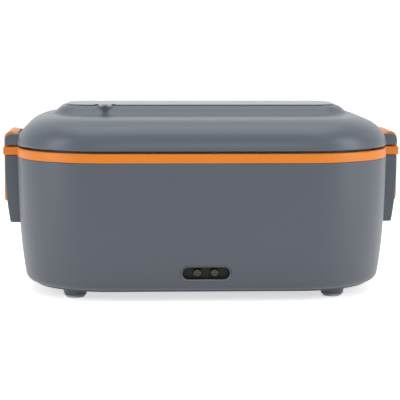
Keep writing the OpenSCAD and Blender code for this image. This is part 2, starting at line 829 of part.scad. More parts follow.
module inlet_socket() color(dark) {
    recess_l = inlet_l - 2 * socket_lip;
    recess_h = inlet_h - 2 * socket_lip;
    flange_reach = inlet_screw_x + inlet_flange_end;
    difference() {
        union() {
            obround_y(inlet_l - 0.2, inlet_h - 0.2, inlet_z, inlet_face_y, socket_block_front + 1);
            translate([-inlet_block_w / 2, socket_block_front, inlet_z - socket_block_h / 2])
                cube([inlet_block_w, socket_block_back - socket_block_front, socket_block_h]);
            translate([-flange_reach, inlet_boss_y, inlet_z - inlet_flange_h / 2])
                cube([2 * flange_reach, inlet_flange_t, inlet_flange_h]);
        }
        difference() {
            obround_y(recess_l, recess_h, inlet_z, inlet_face_y - 1, recess_floor_y);
            pin_rods(collar_r, collar_y, recess_floor_y + 1);
        }
        pin_rods(pin_shank_r + press_gap, collar_y - 1, pin_shank_end_y);
        pin_rods(pin_tail_r + press_gap, recess_floor_y, socket_block_back + 1);
        for (s = [-1, 1])
            rod_y(s * inlet_screw_x, inlet_z, screw_r + screw_play, inlet_boss_y - 1,
                inlet_boss_y + inlet_flange_t + 1);
    }
}

module inlet_pins() color(steel)
    for (s = [-1, 1])
        translate([s * pin_pitch / 2, pin_tip_y, inlet_z])
            rotate([-90, 0, 0])
                rotate_extrude() polygon(concat(
                    [[0, 0.7]],
                    arc([contact_r - pin_tip_round, pin_tip_round], pin_tip_round, -90, 0, 4),
                    [[contact_r, collar_y - press_gap - pin_tip_y],
                        [pin_shank_r, collar_y - press_gap - pin_tip_y],
                        [pin_shank_r, pin_shank_end_y - press_gap - pin_tip_y],
                        [pin_tail_r, pin_shank_end_y - press_gap - pin_tip_y],
                        [pin_tail_r, tail_end_y - pin_tip_y],
                        [0, tail_end_y - pin_tip_y]]));

// Cross-head screw along Z, head down, from the head's underside
module screw_up(length, head_r, head_h, r) {
    cylinder(h = length, r = r);
    translate([0, 0, -head_h]) difference() {
        cylinder(h = head_h, r1 = 0.8 * head_r, r2 = head_r);
        for (turn = [0, 90]) rotate([0, 0, turn])
            cube([1.15 * head_r, 0.25 * head_r, 1.1 * flat_head_h], center = true);
    }
}

module inlet_screws() color(steel)
    for (s = [-1, 1])
        translate([s * inlet_screw_x, inlet_boss_y + inlet_flange_t, inlet_z])
            rotate([90, 0, 0])
                screw_up(inlet_screw_l, pan_head_r, pan_head_h, inlet_screw_hole_r - press_gap);

module foot_places() {
    for (x = [-1, 1], y = [-1, 1])
        translate([x * foot_x, y * foot_y, 0])
            children();
}

module bottom_cover() color(grey) {
    spigot_inset = flange_inset + fit_gap;
    below = foot_h - 1;
    difference() {
        union() {
            rim_slab(bottom_arc_x + 0.4, foot_h, casing_bottom);
            rim_slab(spigot_inset, foot_h, floor_plate_top);
            foot_places()
                translate([0, 0, foot_pad_h])
                    cylinder(h = foot_h - foot_pad_h + 0.5, r1 = foot_r + boss_step, r2 = foot_r + 2 * boss_step);
        }
        foot_places()
            translate([0, 0, -1])
                cylinder(h = foot_pad_h + 3, r = foot_r + 0.05);
        post_places() {
            translate([0, 0, below])
                cylinder(h = floor_plate_top - below + 1, r = screw_r + screw_play);
            translate([0, 0, below])
                cylinder(h = screw_seat_z - below, r = screw_recess_r);
        }
        for (i = [0 : slots - 1])
            translate([(i - (slots - 1) / 2) * slot_pitch - slot_w / 2, slot_y, below])
                cube([slot_w, slot_l, floor_plate_top - below + 1]);
        // Sunk field in the middle
        round_rect_plate(field_l / 2, field_w / 2, field_r, below, foot_h + field_depth);
    }
}

module bottom_screws() color(steel)
    post_places()
        translate([0, 0, screw_seat_z])
            screw_up(bottom_screw_l, pan_head_r, flat_head_h, screw_r);

module rubber_feet() color([0.7, 0.7, 0.69])
    foot_places()
        rotate_extrude() polygon([
            [0, 0],
            [foot_r - 0.7, 0],
            [foot_r - 0.2, 0.25],
            [foot_r, 0.7],
            [foot_r, foot_pad_h + 2],
            [0, foot_pad_h + 2]]);

module clamp_screw_places()
    for (turn = [30, 150, 270]) rotate([0, 0, turn])
        translate([clamp_screw_ring, 0, 0])
            children();

module heating_plate() color([0.82, 0.83, 0.84])
    difference() {
        rotate_extrude($fn = 180) polygon([
            [0, plate_bottom],
            [plate_r, plate_bottom],
            [plate_r, plate_top - 0.9],
            [plate_r - 1.2, plate_top],
            [0, plate_top]]);
        clamp_screw_places()
            translate([0, 0, plate_bottom - 1])
                cylinder(h = 2.2, r = screw_r + press_gap);
    }

module plate_seal() color(silicone)
    translate([0, 0, liner_floor_top])
        difference() {
            cylinder(h = plate_seal_t, r = plate_r, $fn = 180);
            translate([0, 0, -1]) cylinder(h = plate_seal_t + 2, r = plate_hole_r, $fn = 180);
        }

module heater_element() color([0.72, 0.62, 0.45])
    translate([0, 0, element_z]) difference() {
        union() {
            cylinder(h = element_t, r = element_r, $fn = 180);
            for (s = [-1, 1])
                translate([s * tab_x - tab_w / 2, element_r - 2, 0])
                    cube([tab_w, tab_end_y - element_r + 2, element_t]);
        }
        clamp_screw_places() translate([0, 0, -1]) cylinder(h = element_t + 2, r = screw_r + screw_play);
        translate([0, 0, -1]) cylinder(h = element_t + 2, r = thermostat_r + 1);
    }

module heater_clamp() color(steel)
    translate([0, 0, clamp_z]) difference() {
        cylinder(h = clamp_t, r = element_r + 0.5, $fn = 180);
        clamp_screw_places() translate([0, 0, -1]) cylinder(h = clamp_t + 2, r = screw_r + screw_play);
        for (turn = [90, 210, 330]) rotate([0, 0, turn])
            translate([clamp_slot_in, -clamp_slot_w / 2, -1]) cube([clamp_slot_l, clamp_slot_w, clamp_t + 2]);
        for (s = [-1, 1]) translate([s * thermostat_screw_x, 0, -1])
            cylinder(h = clamp_t + 2, r = thermostat_screw_r + press_gap);
    }

module heater_screws() color(steel)
    clamp_screw_places()
        translate([0, 0, clamp_z])
            screw_up(clamp_t + element_t + 1, pan_head_r, pan_head_h, screw_r);

module thermostat() color([0.85, 0.83, 0.78])
    translate([0, 0, clamp_z - thermostat_h]) {
        cylinder(h = thermostat_h, r = thermostat_r);
        difference() {
            flange_l = 2 * thermostat_screw_x + 3 * thermostat_screw_r + 3;
            translate([-flange_l / 2, -thermostat_flange_w / 2, thermostat_h - thermostat_flange_t])
                cube([flange_l, thermostat_flange_w, thermostat_flange_t]);
            for (s = [-1, 1]) translate([s * thermostat_screw_x, 0, 0])
                cylinder(h = thermostat_h + 1, r = thermostat_screw_r + screw_play);
        }
        for (s = [-1, 1]) translate([s * terminal_x - blade_w / 2, blade_end_y, blade_up])
            cube([blade_w, blade_l, blade_t]);
    }

module thermostat_screws() color(steel)
    for (s = [-1, 1])
        translate([s * thermostat_screw_x, 0, clamp_z - thermostat_flange_t])
            screw_up(thermostat_flange_t + clamp_t, 2 * thermostat_screw_r, flat_head_h, thermostat_screw_r);

module thermal_fuse() color([0.93, 0.93, 0.9])
    rod_y(fuse_x, fuse_z, fuse_r, -fuse_l / 2, fuse_l / 2);

module fuse_clip() color(steel)
    translate([fuse_x, 0, 0])
        across(strap_w) difference() {
            strap_r = fuse_r + 0.1 + strap_t;
            flange_reach = strap_r + strap_foot;
            union() {
                intersection() {
                    translate([0, fuse_z]) circle(r = strap_r);
                    translate([-strap_r, clamp_z - 2 * strap_r]) square(2 * strap_r);
                }
                translate([-strap_r, fuse_z]) square([2 * strap_r, clamp_z - fuse_z]);
                translate([-flange_reach, clamp_z - strap_t]) square([2 * flange_reach, strap_t]);
            }
            translate([0, fuse_z]) circle(r = fuse_r + 0.1);
            translate([-fuse_r - 0.1, fuse_z]) square([2 * fuse_r + 0.2, clamp_z - fuse_z + 1]);
        }

module terminal_sleeves() color([0.75, 0.2, 0.15])
    difference() {
        pin_rods(pin_tail_r + 0.1 + sleeve_t, tail_end_y - sleeve_back, tail_end_y + sleeve_front);
        pin_rods(pin_tail_r + 0.1, tail_end_y - sleeve_back - 1, tail_end_y + sleeve_front + 1);
    }

function bezier(p, t) =
    pow(1 - t, 3) * p[0] + 3 * pow(1 - t, 2) * t * p[1] + 3 * (1 - t) * t * t * p[2] + pow(t, 3) * p[3];
function unit(v) = v / norm(v);

// Round wire along a cubic curve that never runs upright
module wire(p, rings = 16, sides = 8) {
    at = [for (i = [0 : rings]) bezier(p, i / rings)];
    run = [for (i = [0 : rings])
        unit(i == 0 ? p[1] - p[0] : i == rings ? p[3] - p[2] : at[i + 1] - at[i - 1])];
    skin = [for (i = [0 : rings], k = [0 : sides - 1])
        let (across = unit(cross(run[i], [0, 0, 1])), up = cross(across, run[i]), a = 360 * k / sides)
        at[i] + wire_r * (cos(a) * across + sin(a) * up)];
    polyhedron(
        points = skin,
        faces = concat(
            [[for (k = [0 : sides - 1]) k]],
            [[for (k = [sides - 1 : -1 : 0]) rings * sides + k]],
            [for (i = [0 : rings - 1], k = [0 : sides - 1])
                let (a = i * sides + k, b = i * sides + (k + 1) % sides)
                each [[a, a + sides, b], [b, a + sides, b + sides]]]));
}

lead_start_y = tail_end_y + fit_gap;
terminal_y = blade_end_y - fit_gap;
terminal_z = clamp_z - thermostat_h + blade_up + blade_t / 2;

module lead_live() color([0.6, 0.1, 0.1])
    wire([
        [-pin_pitch / 2, lead_start_y, inlet_z],
        [-pin_pitch / 2, lead_start_y + 18, inlet_z],
        [terminal_x, terminal_y - 14, terminal_z],
        [terminal_x, terminal_y, terminal_z]]);

module lead_neutral() color([0.1, 0.15, 0.5])
    wire([
        [pin_pitch / 2, lead_start_y, inlet_z],
        [pin_pitch / 2, lead_start_y + 16, inlet_z],
        [fuse_x, -fuse_l / 2 - 16, fuse_z],
        [fuse_x, -fuse_l / 2 - fit_gap, fuse_z]]);

module lead_link() color([0.1, 0.15, 0.5])
    wire([
        [fuse_x, fuse_l / 2 + fit_gap, fuse_z],
        [fuse_x, fuse_l / 2 + 14, fuse_z],
        [tab_x, element_r - 6, fuse_z - 1],
        [tab_x, tab_end_y - 0.4, element_z - wire_r - fit_gap]]);

module lead_feed() color([0.6, 0.1, 0.1])
    wire([
        [-terminal_x, terminal_y, terminal_z],
        [-terminal_x, terminal_y - 28, terminal_z],
        [-element_r - 8, terminal_y, terminal_z / 2],
        [-tab_x, tab_end_y - 0.4, element_z - wire_r - fit_gap]]);

outer_shell();
liner_frame();
liner_basin();
food_container();
lid_shell();
lid_liner();
seal_carrier();
seal_ring();
clip_left();
clip_right();
compartment_cover();
cover_pins();
vent_plug();
inlet_socket();
inlet_pins();
inlet_screws();
bottom_cover();
bottom_screws();
rubber_feet();
heating_plate();
plate_seal();
heater_element();
heater_clamp();
heater_screws();
thermostat();
thermostat_screws();
thermal_fuse();
fuse_clip();
terminal_sleeves();
lead_live();
lead_neutral();
lead_link();
lead_feed();
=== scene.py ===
from math import cos, pi, radians, sin, sqrt

import bmesh
import bpy
from bpy.props import FloatProperty, FloatVectorProperty, PointerProperty
from mathutils import Matrix, Vector


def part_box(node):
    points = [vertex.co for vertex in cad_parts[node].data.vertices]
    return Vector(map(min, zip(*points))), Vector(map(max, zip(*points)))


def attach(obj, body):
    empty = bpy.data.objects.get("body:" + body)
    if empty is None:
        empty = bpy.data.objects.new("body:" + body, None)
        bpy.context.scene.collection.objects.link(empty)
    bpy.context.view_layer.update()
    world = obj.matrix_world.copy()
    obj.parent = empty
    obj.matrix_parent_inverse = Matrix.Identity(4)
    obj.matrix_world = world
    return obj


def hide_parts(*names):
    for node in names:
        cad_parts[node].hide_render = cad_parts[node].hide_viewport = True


bl_info = {
    "name": "Electric lunch box",
    "version": (1, 0, 0),
    "blender": (4, 5, 0),
    "location": "3D View > Sidebar > Lunch box",
    "description": "Dresses the packed lunch box: moulded casing, ring, lid, clips, inlet, tub and stage",
    "category": "Object",
}

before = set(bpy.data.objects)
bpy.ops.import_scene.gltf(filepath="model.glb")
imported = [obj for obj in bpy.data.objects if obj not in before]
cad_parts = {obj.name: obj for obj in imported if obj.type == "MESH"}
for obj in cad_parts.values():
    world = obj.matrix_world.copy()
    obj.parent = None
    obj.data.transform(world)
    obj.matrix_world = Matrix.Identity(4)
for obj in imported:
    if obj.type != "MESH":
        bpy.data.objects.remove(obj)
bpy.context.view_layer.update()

MM = 0.001
ENDS = (-1, 1)
ARC_STEPS = 28  # segments in each quarter of a moulded outline
NEAR = 0.05 * MM  # two places closer than this count as the same

WALL = 2.2 * MM  # wall of the casing and of the lid
EAR_ROOT = 1.6 * MM  # how far inside the rim's end an ear starts
LID_SKIRT = 0.5 * MM  # upright edge under the lid's dome
PLATFORM_EDGE = 0.9 * MM  # flat strip of the platform round the cover
COVER_STEP = 0.9 * MM  # how far the cover stands above the platform
COVER_SHEET = 2 * MM  # thickness of the cover
HINGE_IN = 1.4 * MM  # how far the hinge axis lies inside the cover's back edge, and below its top
LUG_X = 62 * MM  # distance of the two hinge lugs from the middle
LUG_GAP = 2.1 * MM  # half the gap in the cover's barrel at each lug
PLUG_R = 4 * MM  # radius of the steam plug's head
PLUG_HEIGHT = 2.3 * MM  # from the plug's seat to the top of its tab
CLIP_PLATE = 3 * MM  # thickness of a clip's plate
KNUCKLE_R = 4 * MM  # radius of the clip's round top, about which it turns
PIN_X = 5 * MM  # distance of the two contact pins from the middle
INLET_DEPTH = 9 * MM  # from the inlet's lip to the floor of its recess


# ---------------------------------------------------------------- sizes and colours

def length(name, description, millimetres):
    """A length property whose default is given in millimetres."""
    return FloatProperty(
        name=name, description=description, default=millimetres * MM, unit="LENGTH", precision=4)


def to_linear(hex_colour):
    """Turns an sRGB hex value into linear RGB, along the curve that sRGB lays down."""
    channels = [int(hex_colour[i:i + 2], 16) / 255 for i in (1, 3, 5)]
    return [c / 12.92 if c <= 0.04045 else ((c + 0.055) / 1.055) ** 2.4 for c in channels]


def colour(name, description, hex_colour):
    """A colour property whose default is an sRGB hex value."""
    return FloatVectorProperty(
        name=name, description=description, default=to_linear(hex_colour), subtype="COLOR", min=0, max=1)


class LunchBoxSizes(bpy.types.PropertyGroup):
    """Sizes of the moulded pieces, the same as in the part's source."""

    rim_length: length("Rim length", "Length over the rim, without the ears", 222)
    rim_width: length("Rim width", "Width over the rim", 168)
    corner_r: length("Corner radius", "Radius of the four rim corners", 56)
    casing_bottom: length("Casing bottom", "Height of the parting line under the casing", 6.5)
    casing_top: length("Casing top", "Height of the casing's top edge", 81.1)
    casing_draft: length("Casing draft", "How far the wall leans in", 1.3)
    casing_belly: length("Casing belly", "How much further the wall curves in near the bottom", 4.2)
    bottom_round: length("Bottom radius", "Radius of the casing's bottom edge", 6)
    ring_h: length("Ring height", "Height of the orange ring", 5.5)
    ring_lip_w: length("Ring lip", "Width of the ring's raised lip", 4.8)
    lid_gap: length("Lid gap", "Shadow gap between ring and lid", 1.4)
    lid_edge_w: length("Lid edge width", "How far in the lid's rounded edge reaches", 24)
    lid_edge_h: length("Lid edge height", "Height of the lid's rounded edge", 17)
    platform_h: length("Platform height", "Height of the platform above the crown", 5.1)
    platform_foot_w: length("Platform foot", "Width of the platform's sloping foot", 9.2)
    cover_l: length("Cover length", "Length of the flat cover", 164)
    cover_w: length("Cover width", "Width of the flat cover", 46)
    cover_r: length("Cover corner", "Corner radius of the flat cover", 14)
    ear_w: length("Ear width", "Width of an ear along the short side", 50)
    ear_reach: length("Ear reach", "Distance from the centre to an ear's face", 119)
    clip_w: length("Clip width", "Width of a clip", 40)
    inlet_l: length("Inlet length", "Length of the inlet's opening", 29.5)
    inlet_h: length("Inlet height", "Height of the inlet's opening", 9)
    inlet_z: length("Inlet centre", "Height of the inlet's centre", 17.2)
    grain: length("Mould grain", "Spacing of the mould's texture, coarser than real so that it shows", 0.7)


class LunchBoxColours(bpy.types.PropertyGroup):
    """Colours of the finishes."""

    casing: colour("Casing", "Slate grey of the base", "#535861")
    lid: colour("Lid", "Slate grey of the lid", "#586069")
    orange: colour("Orange", "Ring and clips", "#ec8418")
    steel: colour("Steel", "Stainless tub", "#b9b7b2")
    silicone: colour("Silicone", "Gasket and steam plug", "#c9c8c4")
    black: colour("Black", "Inlet moulding", "#0b0b0a")
    # The lip is the casing's grey painted lighter: a painted highlight along its thin edge.
    lip: colour("Inlet lip", "Thin rim round the inlet's recess", "#6c6d72")
    # The pins' dark tint is painted shade: it stands in for the dark recess that the bright plating mirrors.
    pins: colour("Pins", "Plating of the contact pins", "#464239")
    plug: colour("Plug", "Steam plug", "#b9b8c2")
    foot: colour("Feet", "Rubber pads", "#c4c4c2")
    backdrop: colour("Backdrop", "Floor and wall behind", "#ffffff")


# ---------------------------------------------------------------- modelling helpers

def clamp(value, limit):
    """Keeps a coordinate inside plus or minus a limit."""
    return max(-limit, min(limit, value))


def foot_on(spine, point):
    """Nearest point to `point` on the rectangle that an outline is drawn round."""
    return Vector((clamp(point.x, spine.x), clamp(point.y, spine.y)))


def rim_spine(size):
    """Half sizes of the rectangle on which the rim's corners are centred."""
    return Vector((size.rim_length / 2 - size.corner_r, size.rim_width / 2 - size.corner_r))


def cover_spine(size):
    """Half sizes of the rectangle on which the cover's corners are centred."""
    return Vector((size.cover_l / 2 - size.cover_r, size.cover_w / 2 - size.cover_r))


def lid_edge(size):
    """Height of the lid's lower edge."""
    return size.casing_top + size.ring_h + size.lid_gap


def platform_top(size):
    """Height of the platform on the lid."""
    return lid_edge(size) + LID_SKIRT + size.lid_edge_h + size.platform_h


def ear_root(size):
    """Distance from the centre to where an ear starts in the wall."""
    return size.rim_length / 2 - EAR_ROOT


def cover_hinge(size):
    """Place of the cover's hinge axis."""
    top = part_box("compartment_cover")[1].z
    return Vector((0, size.cover_w / 2 - HINGE_IN, top - HINGE_IN))


def plug_axis():
    """Upright centre line of the steam plug's round head, at height zero."""
    low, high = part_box("vent_plug")
    return Vector(((low.x + high.x) / 2, high.y - PLUG_R, 0))


def arc(centre, radius, start, end, steps, height=None):
    """Points (reach, height) along a round or elliptical stretch, angles in degrees."""
    rise = radius if height is None else height
    turns = [radians(start + (end - start) * i / steps) for i in range(steps + 1)]
    return [(centre[0] + radius * cos(t), centre[1] + rise * sin(t)) for t in turns]


def verts_in(made):
    """The vertices among what an operator made."""
    return [item for item in made if isinstance(item, bmesh.types.BMVert)]


def outline(bm, spine, reach, height, steps=ARC_STEPS):
    """Edges of a rectangle with round corners, `reach` outside its spine."""
    corners = [bm.verts.new((x * (spine.x + reach), y * (spine.y + reach), height))
               for x, y in ((1, 1), (-1, 1), (-1, -1), (1, -1))]
    bm.faces.new(corners)
    made = bmesh.ops.bevel(
        bm, geom=corners, offset=reach, affect="VERTICES", segments=steps, profile=0.5, material=-1)
    face = made["verts"][0].link_faces[0]
    edges = list(face.edges)
    bmesh.ops.delete(bm, geom=[face], context="FACES_ONLY")
    return edges


def push(bm, edges, spine, reach, height):
    """Extrudes a closed loop of edges to another reach and height."""
    made = bmesh.ops.extrude_edge_only(bm, edges=edges)["geom"]
    verts = set(verts_in(made))
    for vert in verts:
        foot = foot_on(spine, vert.co.xy)
        vert.co.xy = foot + (vert.co.xy - foot).normalized() * reach
        vert.co.z = height
    return [e for e in made if isinstance(e, bmesh.types.BMEdge) and set(e.verts) <= verts]


def sweep(bm, spine, profile):
    """Carries a profile of (reach, height) points round a spine, and returns its first and last loop."""
    first = outline(bm, spine, *profile[0])
    last = first
    for reach, height in profile[1:]:
        last = push(bm, last, spine, reach, height)
    return first, last


def closed_sweep(bm, spine, profile):
    """Carries a closed profile round a spine."""
    sweep(bm, spine, profile + profile[:1])


def fill(bm, edges):
    """Closes a flat loop with one face."""
    return bmesh.ops.edgeloop_fill(bm, edges=edges)["faces"]


def turned(bm, profile, centre, steps=48):
    """Spins a profile of (radius, height) points about an upright axis."""
    verts = [bm.verts.new((centre.x + radius, centre.y, centre.z + height)) for radius, height in profile]
    edges = [bm.edges.new(pair) for pair in zip(verts, verts[1:])]
    bmesh.ops.spin(
        bm, geom=verts + edges, cent=centre, axis=(0, 0, 1), angle=2 * pi, steps=steps, use_merge=True)


def prism(bm, points, y0, y1):
    """Extrudes an outline of (x, z) points along Y, and returns its vertices."""
    verts = [bm.verts.new((x, y0, z)) for x, z in points]
    face = bm.faces.new(verts)
    far = verts_in(bmesh.ops.extrude_face_region(bm, geom=[face])["geom"])
    bmesh.ops.translate(bm, verts=far, vec=(0, y1 - y0, 0))
    return verts + far


def block(bm, low, high):
    """A box between two corners, and returns its vertices."""
    size = Vector(high) - Vector(low)
    place = Matrix.Translation((Vector(low) + Vector(high)) / 2) @ Matrix.Diagonal((*size, 1))
    return bmesh.ops.create_cube(bm, size=1, matrix=place)["verts"]


def cylinder(bm, radius, depth, place, segments=32):
    """A closed cylinder along Z, put where the matrix `place` says."""
    bmesh.ops.create_cone(
        bm, cap_ends=True, segments=segments, radius1=radius, radius2=radius, depth=depth, matrix=place)


def rod(bm, axis, radius, x0, x1):
    """A closed cylinder along X, from x0 to x1."""
    place = Matrix.Translation(((x0 + x1) / 2, axis.y, axis.z)) @ Matrix.Rotation(radians(90), 4, "Y")
    cylinder(bm, radius, x1 - x0, place)


def sharp_edges(bm, verts, limit=35):
    """Edges among `verts` that are sharper than `limit` degrees, once their faces point outwards."""
    bmesh.ops.recalc_face_normals(bm, faces=list({f for v in verts for f in v.link_faces}))
    edges = {e for v in verts for e in v.link_edges if e.is_manifold}
    return [e for e in edges if e.calc_face_angle(0) > radians(limit)]


def round_off(bm, edges, width, segments=3, clamp=True):
    """Rounds edges, and with `clamp` stops them before they cross."""
    bmesh.ops.bevel(
        bm, geom=edges, offset=width, affect="EDGES", segments=segments, profile=0.5, material=-1,
        clamp_overlap=clamp)


def soften(bm, verts, width, segments=3, limit=35):
    """Rounds the edges among `verts` that are sharper than `limit` degrees."""
    round_off(bm, sharp_edges(bm, verts, limit), width, segments)


def tidy(bm):
    """Merges doubles and turns every face outwards."""
    bmesh.ops.remove_doubles(bm, verts=bm.verts, dist=0.002 * MM)
    bmesh.ops.dissolve_degenerate(bm, edges=bm.edges, dist=0.001 * MM)
    bmesh.ops.recalc_face_normals(bm, faces=bm.faces)


def new_object(name, bm, material):
    """Makes a bmesh into an object at the origin."""
    mesh = bpy.data.meshes.new(name)
    bm.to_mesh(mesh)
    bm.free()
    mesh.materials.append(material)
    piece = bpy.data.objects.new(name, mesh)
    bpy.context.scene.collection.objects.link(piece)
    return piece


def apply_modifiers(piece):
    """Turns a piece's modifiers into mesh."""
    evaluated = piece.evaluated_get(bpy.context.evaluated_depsgraph_get())
    mesh = bpy.data.meshes.new_from_object(evaluated)
    piece.modifiers.clear()
    piece.data = mesh


def cut(piece, cutters, operation="DIFFERENCE"):
    """Cuts bmesh solids out of a piece or joins them to it, one after the other."""
    for number, bm in enumerate(cutters):
        tidy(bm)
        cutter = new_object(f"cutter_{number}", bm, piece.data.materials[0])
        step = piece.modifiers.new("cut", "BOOLEAN")
        step.operation = operation
        step.solver = "MANIFOLD"
        step.object = cutter
        apply_modifiers(piece)
        bpy.data.objects.remove(cutter)


def dress(piece, body, node, smooth=32):
    """Smooths a piece up to an angle, hangs it on its body's empty and hides the CAD node it stands in for.
    """
    piece.data.shade_smooth()
    piece.data.set_sharp_from_angle(angle=radians(smooth))
    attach(piece, body)
    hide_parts(node)


# ---------------------------------------------------------------- materials

def add(tree, kind, inputs=None, **settings):
    """Adds a shader node with its settings, and links or sets its inputs."""
    made = tree.nodes.new(kind)
    for name, value in settings.items():
        setattr(made, name, value)
    for name, value in (inputs or {}).items():
        if isinstance(value, bpy.types.NodeSocket):
            tree.links.new(value, made.inputs[name])
        else:
            made.inputs[name].default_value = value
    return made


def start_material(name):
    """A new material with its tree and Object coordinates, or the one of that name without them."""
    material = bpy.data.materials.get(name)
    if material:
        return material, None, None
    material = bpy.data.materials.new(name)
    material.use_nodes = True
    tree = material.node_tree
    tree.nodes.clear()
    return material, tree, add(tree, "ShaderNodeTexCoord").outputs["Object"]


def moulded_polypropylene(name, tint, grain, roughness=0.42, shift=0.05):
    """Injection-moulded polypropylene off a spark-eroded mould: satin, waxy, with a fine even grain.

    The inlet's moulding and the wires' covering are near enough to share it.
    """
    material, tree, place = start_material(name)
    if tree is None:
        return material
    flow_lines = 45 * MM
    flow = add(tree, "ShaderNodeTexNoise", {"Vector": place, "Scale": 1 / flow_lines, "Detail": 3.0})
    fine = add(tree, "ShaderNodeTexNoise", {
        "Vector": place, "Scale": 1 / grain, "Detail": 2.0, "Roughness": 0.6})
    darker = [c * (1 - shift) for c in tint]
    lighter = [min(1, c * (1 + shift)) for c in tint]
    body = add(tree, "ShaderNodeMix", {"Factor": flow.outputs["Fac"], "A": (*darker, 1), "B": (*lighter, 1)},
               data_type="RGBA")
    rough = add(tree, "ShaderNodeMapRange", {
        "Value": flow.outputs["Fac"], "To Min": roughness - 0.04, "To Max": roughness + 0.04})
    bump = add(tree, "ShaderNodeBump", {
        "Height": fine.outputs["Fac"], "Strength": 0.22, "Distance": 0.06 * MM})
    shader = add(tree, "ShaderNodeBsdfPrincipled", {
        "Base Color": body.outputs["Result"], "Roughness": rough.outputs["Result"],
        "Normal": bump.outputs["Normal"], "IOR": 1.49})
    add(tree, "ShaderNodeOutputMaterial", {"Surface": shader.outputs["BSDF"]})
    return material


def pressed_stainless(name, tint, roughness=0.27, line=0.35 * MM):
    """Deep-drawn stainless steel, polished along the wall: bright, with fine drawn lines."""
    material, tree, place = start_material(name)
    if tree is None:
        return material
    drawn = add(tree, "ShaderNodeMapping", {"Vector": place, "Scale": (0.12, 0.12, 1.0)})
    lines = add(tree, "ShaderNodeTexNoise", {
        "Vector": drawn.outputs["Vector"], "Scale": 1 / line, "Detail": 3.0})
    polish = 30 * MM
    patch = add(tree, "ShaderNodeTexNoise", {"Vector": place, "Scale": 1 / polish, "Detail": 2.0})
    rough = add(tree, "ShaderNodeMapRange", {
        "Value": patch.outputs["Fac"], "To Min": roughness - 0.05, "To Max": roughness + 0.06})
    bump = add(tree, "ShaderNodeBump", {
        "Height": lines.outputs["Fac"], "Strength": 0.12, "Distance": 0.02 * MM})
    shader = add(tree, "ShaderNodeBsdfPrincipled", {
        "Base Color": (*tint, 1), "Metallic": 1.0, "Roughness": rough.outputs["Result"],
        "Normal": bump.outputs["Normal"]})
    add(tree, "ShaderNodeOutputMaterial", {"Surface": shader.outputs["BSDF"]})
    return material


def soft_rubber(name, tint, roughness=0.6, ior=1.43):
    """Moulded silicone or rubber: matt, slightly dusty, with a soft sheen at the edges."""
    material, tree, place = start_material(name)
    if tree is None:
        return material
    speck = 4 * MM
    dust = add(tree, "ShaderNodeTexNoise", {"Vector": place, "Scale": 1 / speck, "Detail": 4.0})
    rough = add(tree, "ShaderNodeMapRange", {
        "Value": dust.outputs["Fac"], "To Min": roughness - 0.06, "To Max": roughness + 0.08})
    bump = add(tree, "ShaderNodeBump", {
        "Height": dust.outputs["Fac"], "Strength": 0.15, "Distance": 0.05 * MM})
    shader = add(tree, "ShaderNodeBsdfPrincipled", {
        "Base Color": (*tint, 1), "Roughness": rough.outputs["Result"], "Normal": bump.outputs["Normal"],
        "IOR": ior, "Sheen Weight": 0.08})
    add(tree, "ShaderNodeOutputMaterial", {"Surface": shader.outputs["BSDF"]})
    return material


def turned_metal(name, tint, roughness=0.34, ring=10.053 * MM):
    """Spun metal: soft rings round the upright centre line, wider apart than real so that they show."""
    material, tree, place = start_material(name)
    if tree is None:
        return material
    per_metre = pi / 10  # scale at which the wave texture draws one ring in each metre
    rings = add(tree, "ShaderNodeTexWave", {"Vector": place, "Scale": per_metre / ring, "Distortion": 0.3},
                wave_type="RINGS", rings_direction="Z")
    rough = add(tree, "ShaderNodeMapRange", {
        "Value": rings.outputs["Fac"], "To Min": roughness - 0.04, "To Max": roughness + 0.05})
    bump = add(tree, "ShaderNodeBump", {
        "Height": rings.outputs["Fac"], "Strength": 0.06, "Distance": 0.02 * MM})
    shader = add(tree, "ShaderNodeBsdfPrincipled", {
        "Base Color": (*tint, 1), "Metallic": 1.0, "Roughness": rough.outputs["Result"],
        "Normal": bump.outputs["Normal"]})
    add(tree, "ShaderNodeOutputMaterial", {"Surface": shader.outputs["BSDF"]})
    return material


def plated_metal(name, tint, roughness=0.22):
    """Zinc or nickel plating, and drawn wire: bright, a little cloudy."""
    material, tree, place = start_material(name)
    if tree is None:
        return material
    bloom = 1.5 * MM
    cloud = add(tree, "ShaderNodeTexNoise", {"Vector": place, "Scale": 1 / bloom, "Detail": 3.0})
    rough = add(tree, "ShaderNodeMapRange", {
        "Value": cloud.outputs["Fac"], "To Min": roughness - 0.05, "To Max": roughness + 0.1})
    shader = add(tree, "ShaderNodeBsdfPrincipled", {
        "Base Color": (*tint, 1), "Metallic": 1.0, "Roughness": rough.outputs["Result"]})
    add(tree, "ShaderNodeOutputMaterial", {"Surface": shader.outputs["BSDF"]})
    return material


def flecked_sheet(name, tint, fleck, size=2 * MM, roughness=0.5):
    """Mica, ceramic or woven sleeve: a dull sheet with flecks of a second tone."""
    material, tree, place = start_material(name)
    if tree is None:
        return material
    cells = add(tree, "ShaderNodeTexVoronoi", {"Vector": place, "Scale": 1 / size})
    ramp = add(tree, "ShaderNodeValToRGB", {"Fac": cells.outputs["Distance"]})
    ramp.color_ramp.elements[0].color = (*fleck, 1)
    ramp.color_ramp.elements[1].color = (*tint, 1)
    shader = add(tree, "ShaderNodeBsdfPrincipled", {
        "Base Color": ramp.outputs["Color"], "Roughness": roughness})
    add(tree, "ShaderNodeOutputMaterial", {"Surface": shader.outputs["BSDF"]})
    return material


def casing_plastic(context):
    """The base's grey: a little duller than the lid."""
    size, tints = context.scene.lunch_box_sizes, context.scene.lunch_box_colours
    return moulded_polypropylene("Satin polypropylene, slate casing", tints.casing, size.grain, 0.39)


def lid_plastic(context):
    """The lid's grey."""
    size, tints = context.scene.lunch_box_sizes, context.scene.lunch_box_colours
    return moulded_polypropylene("Satin polypropylene, slate lid", tints.lid, size.grain, 0.34)


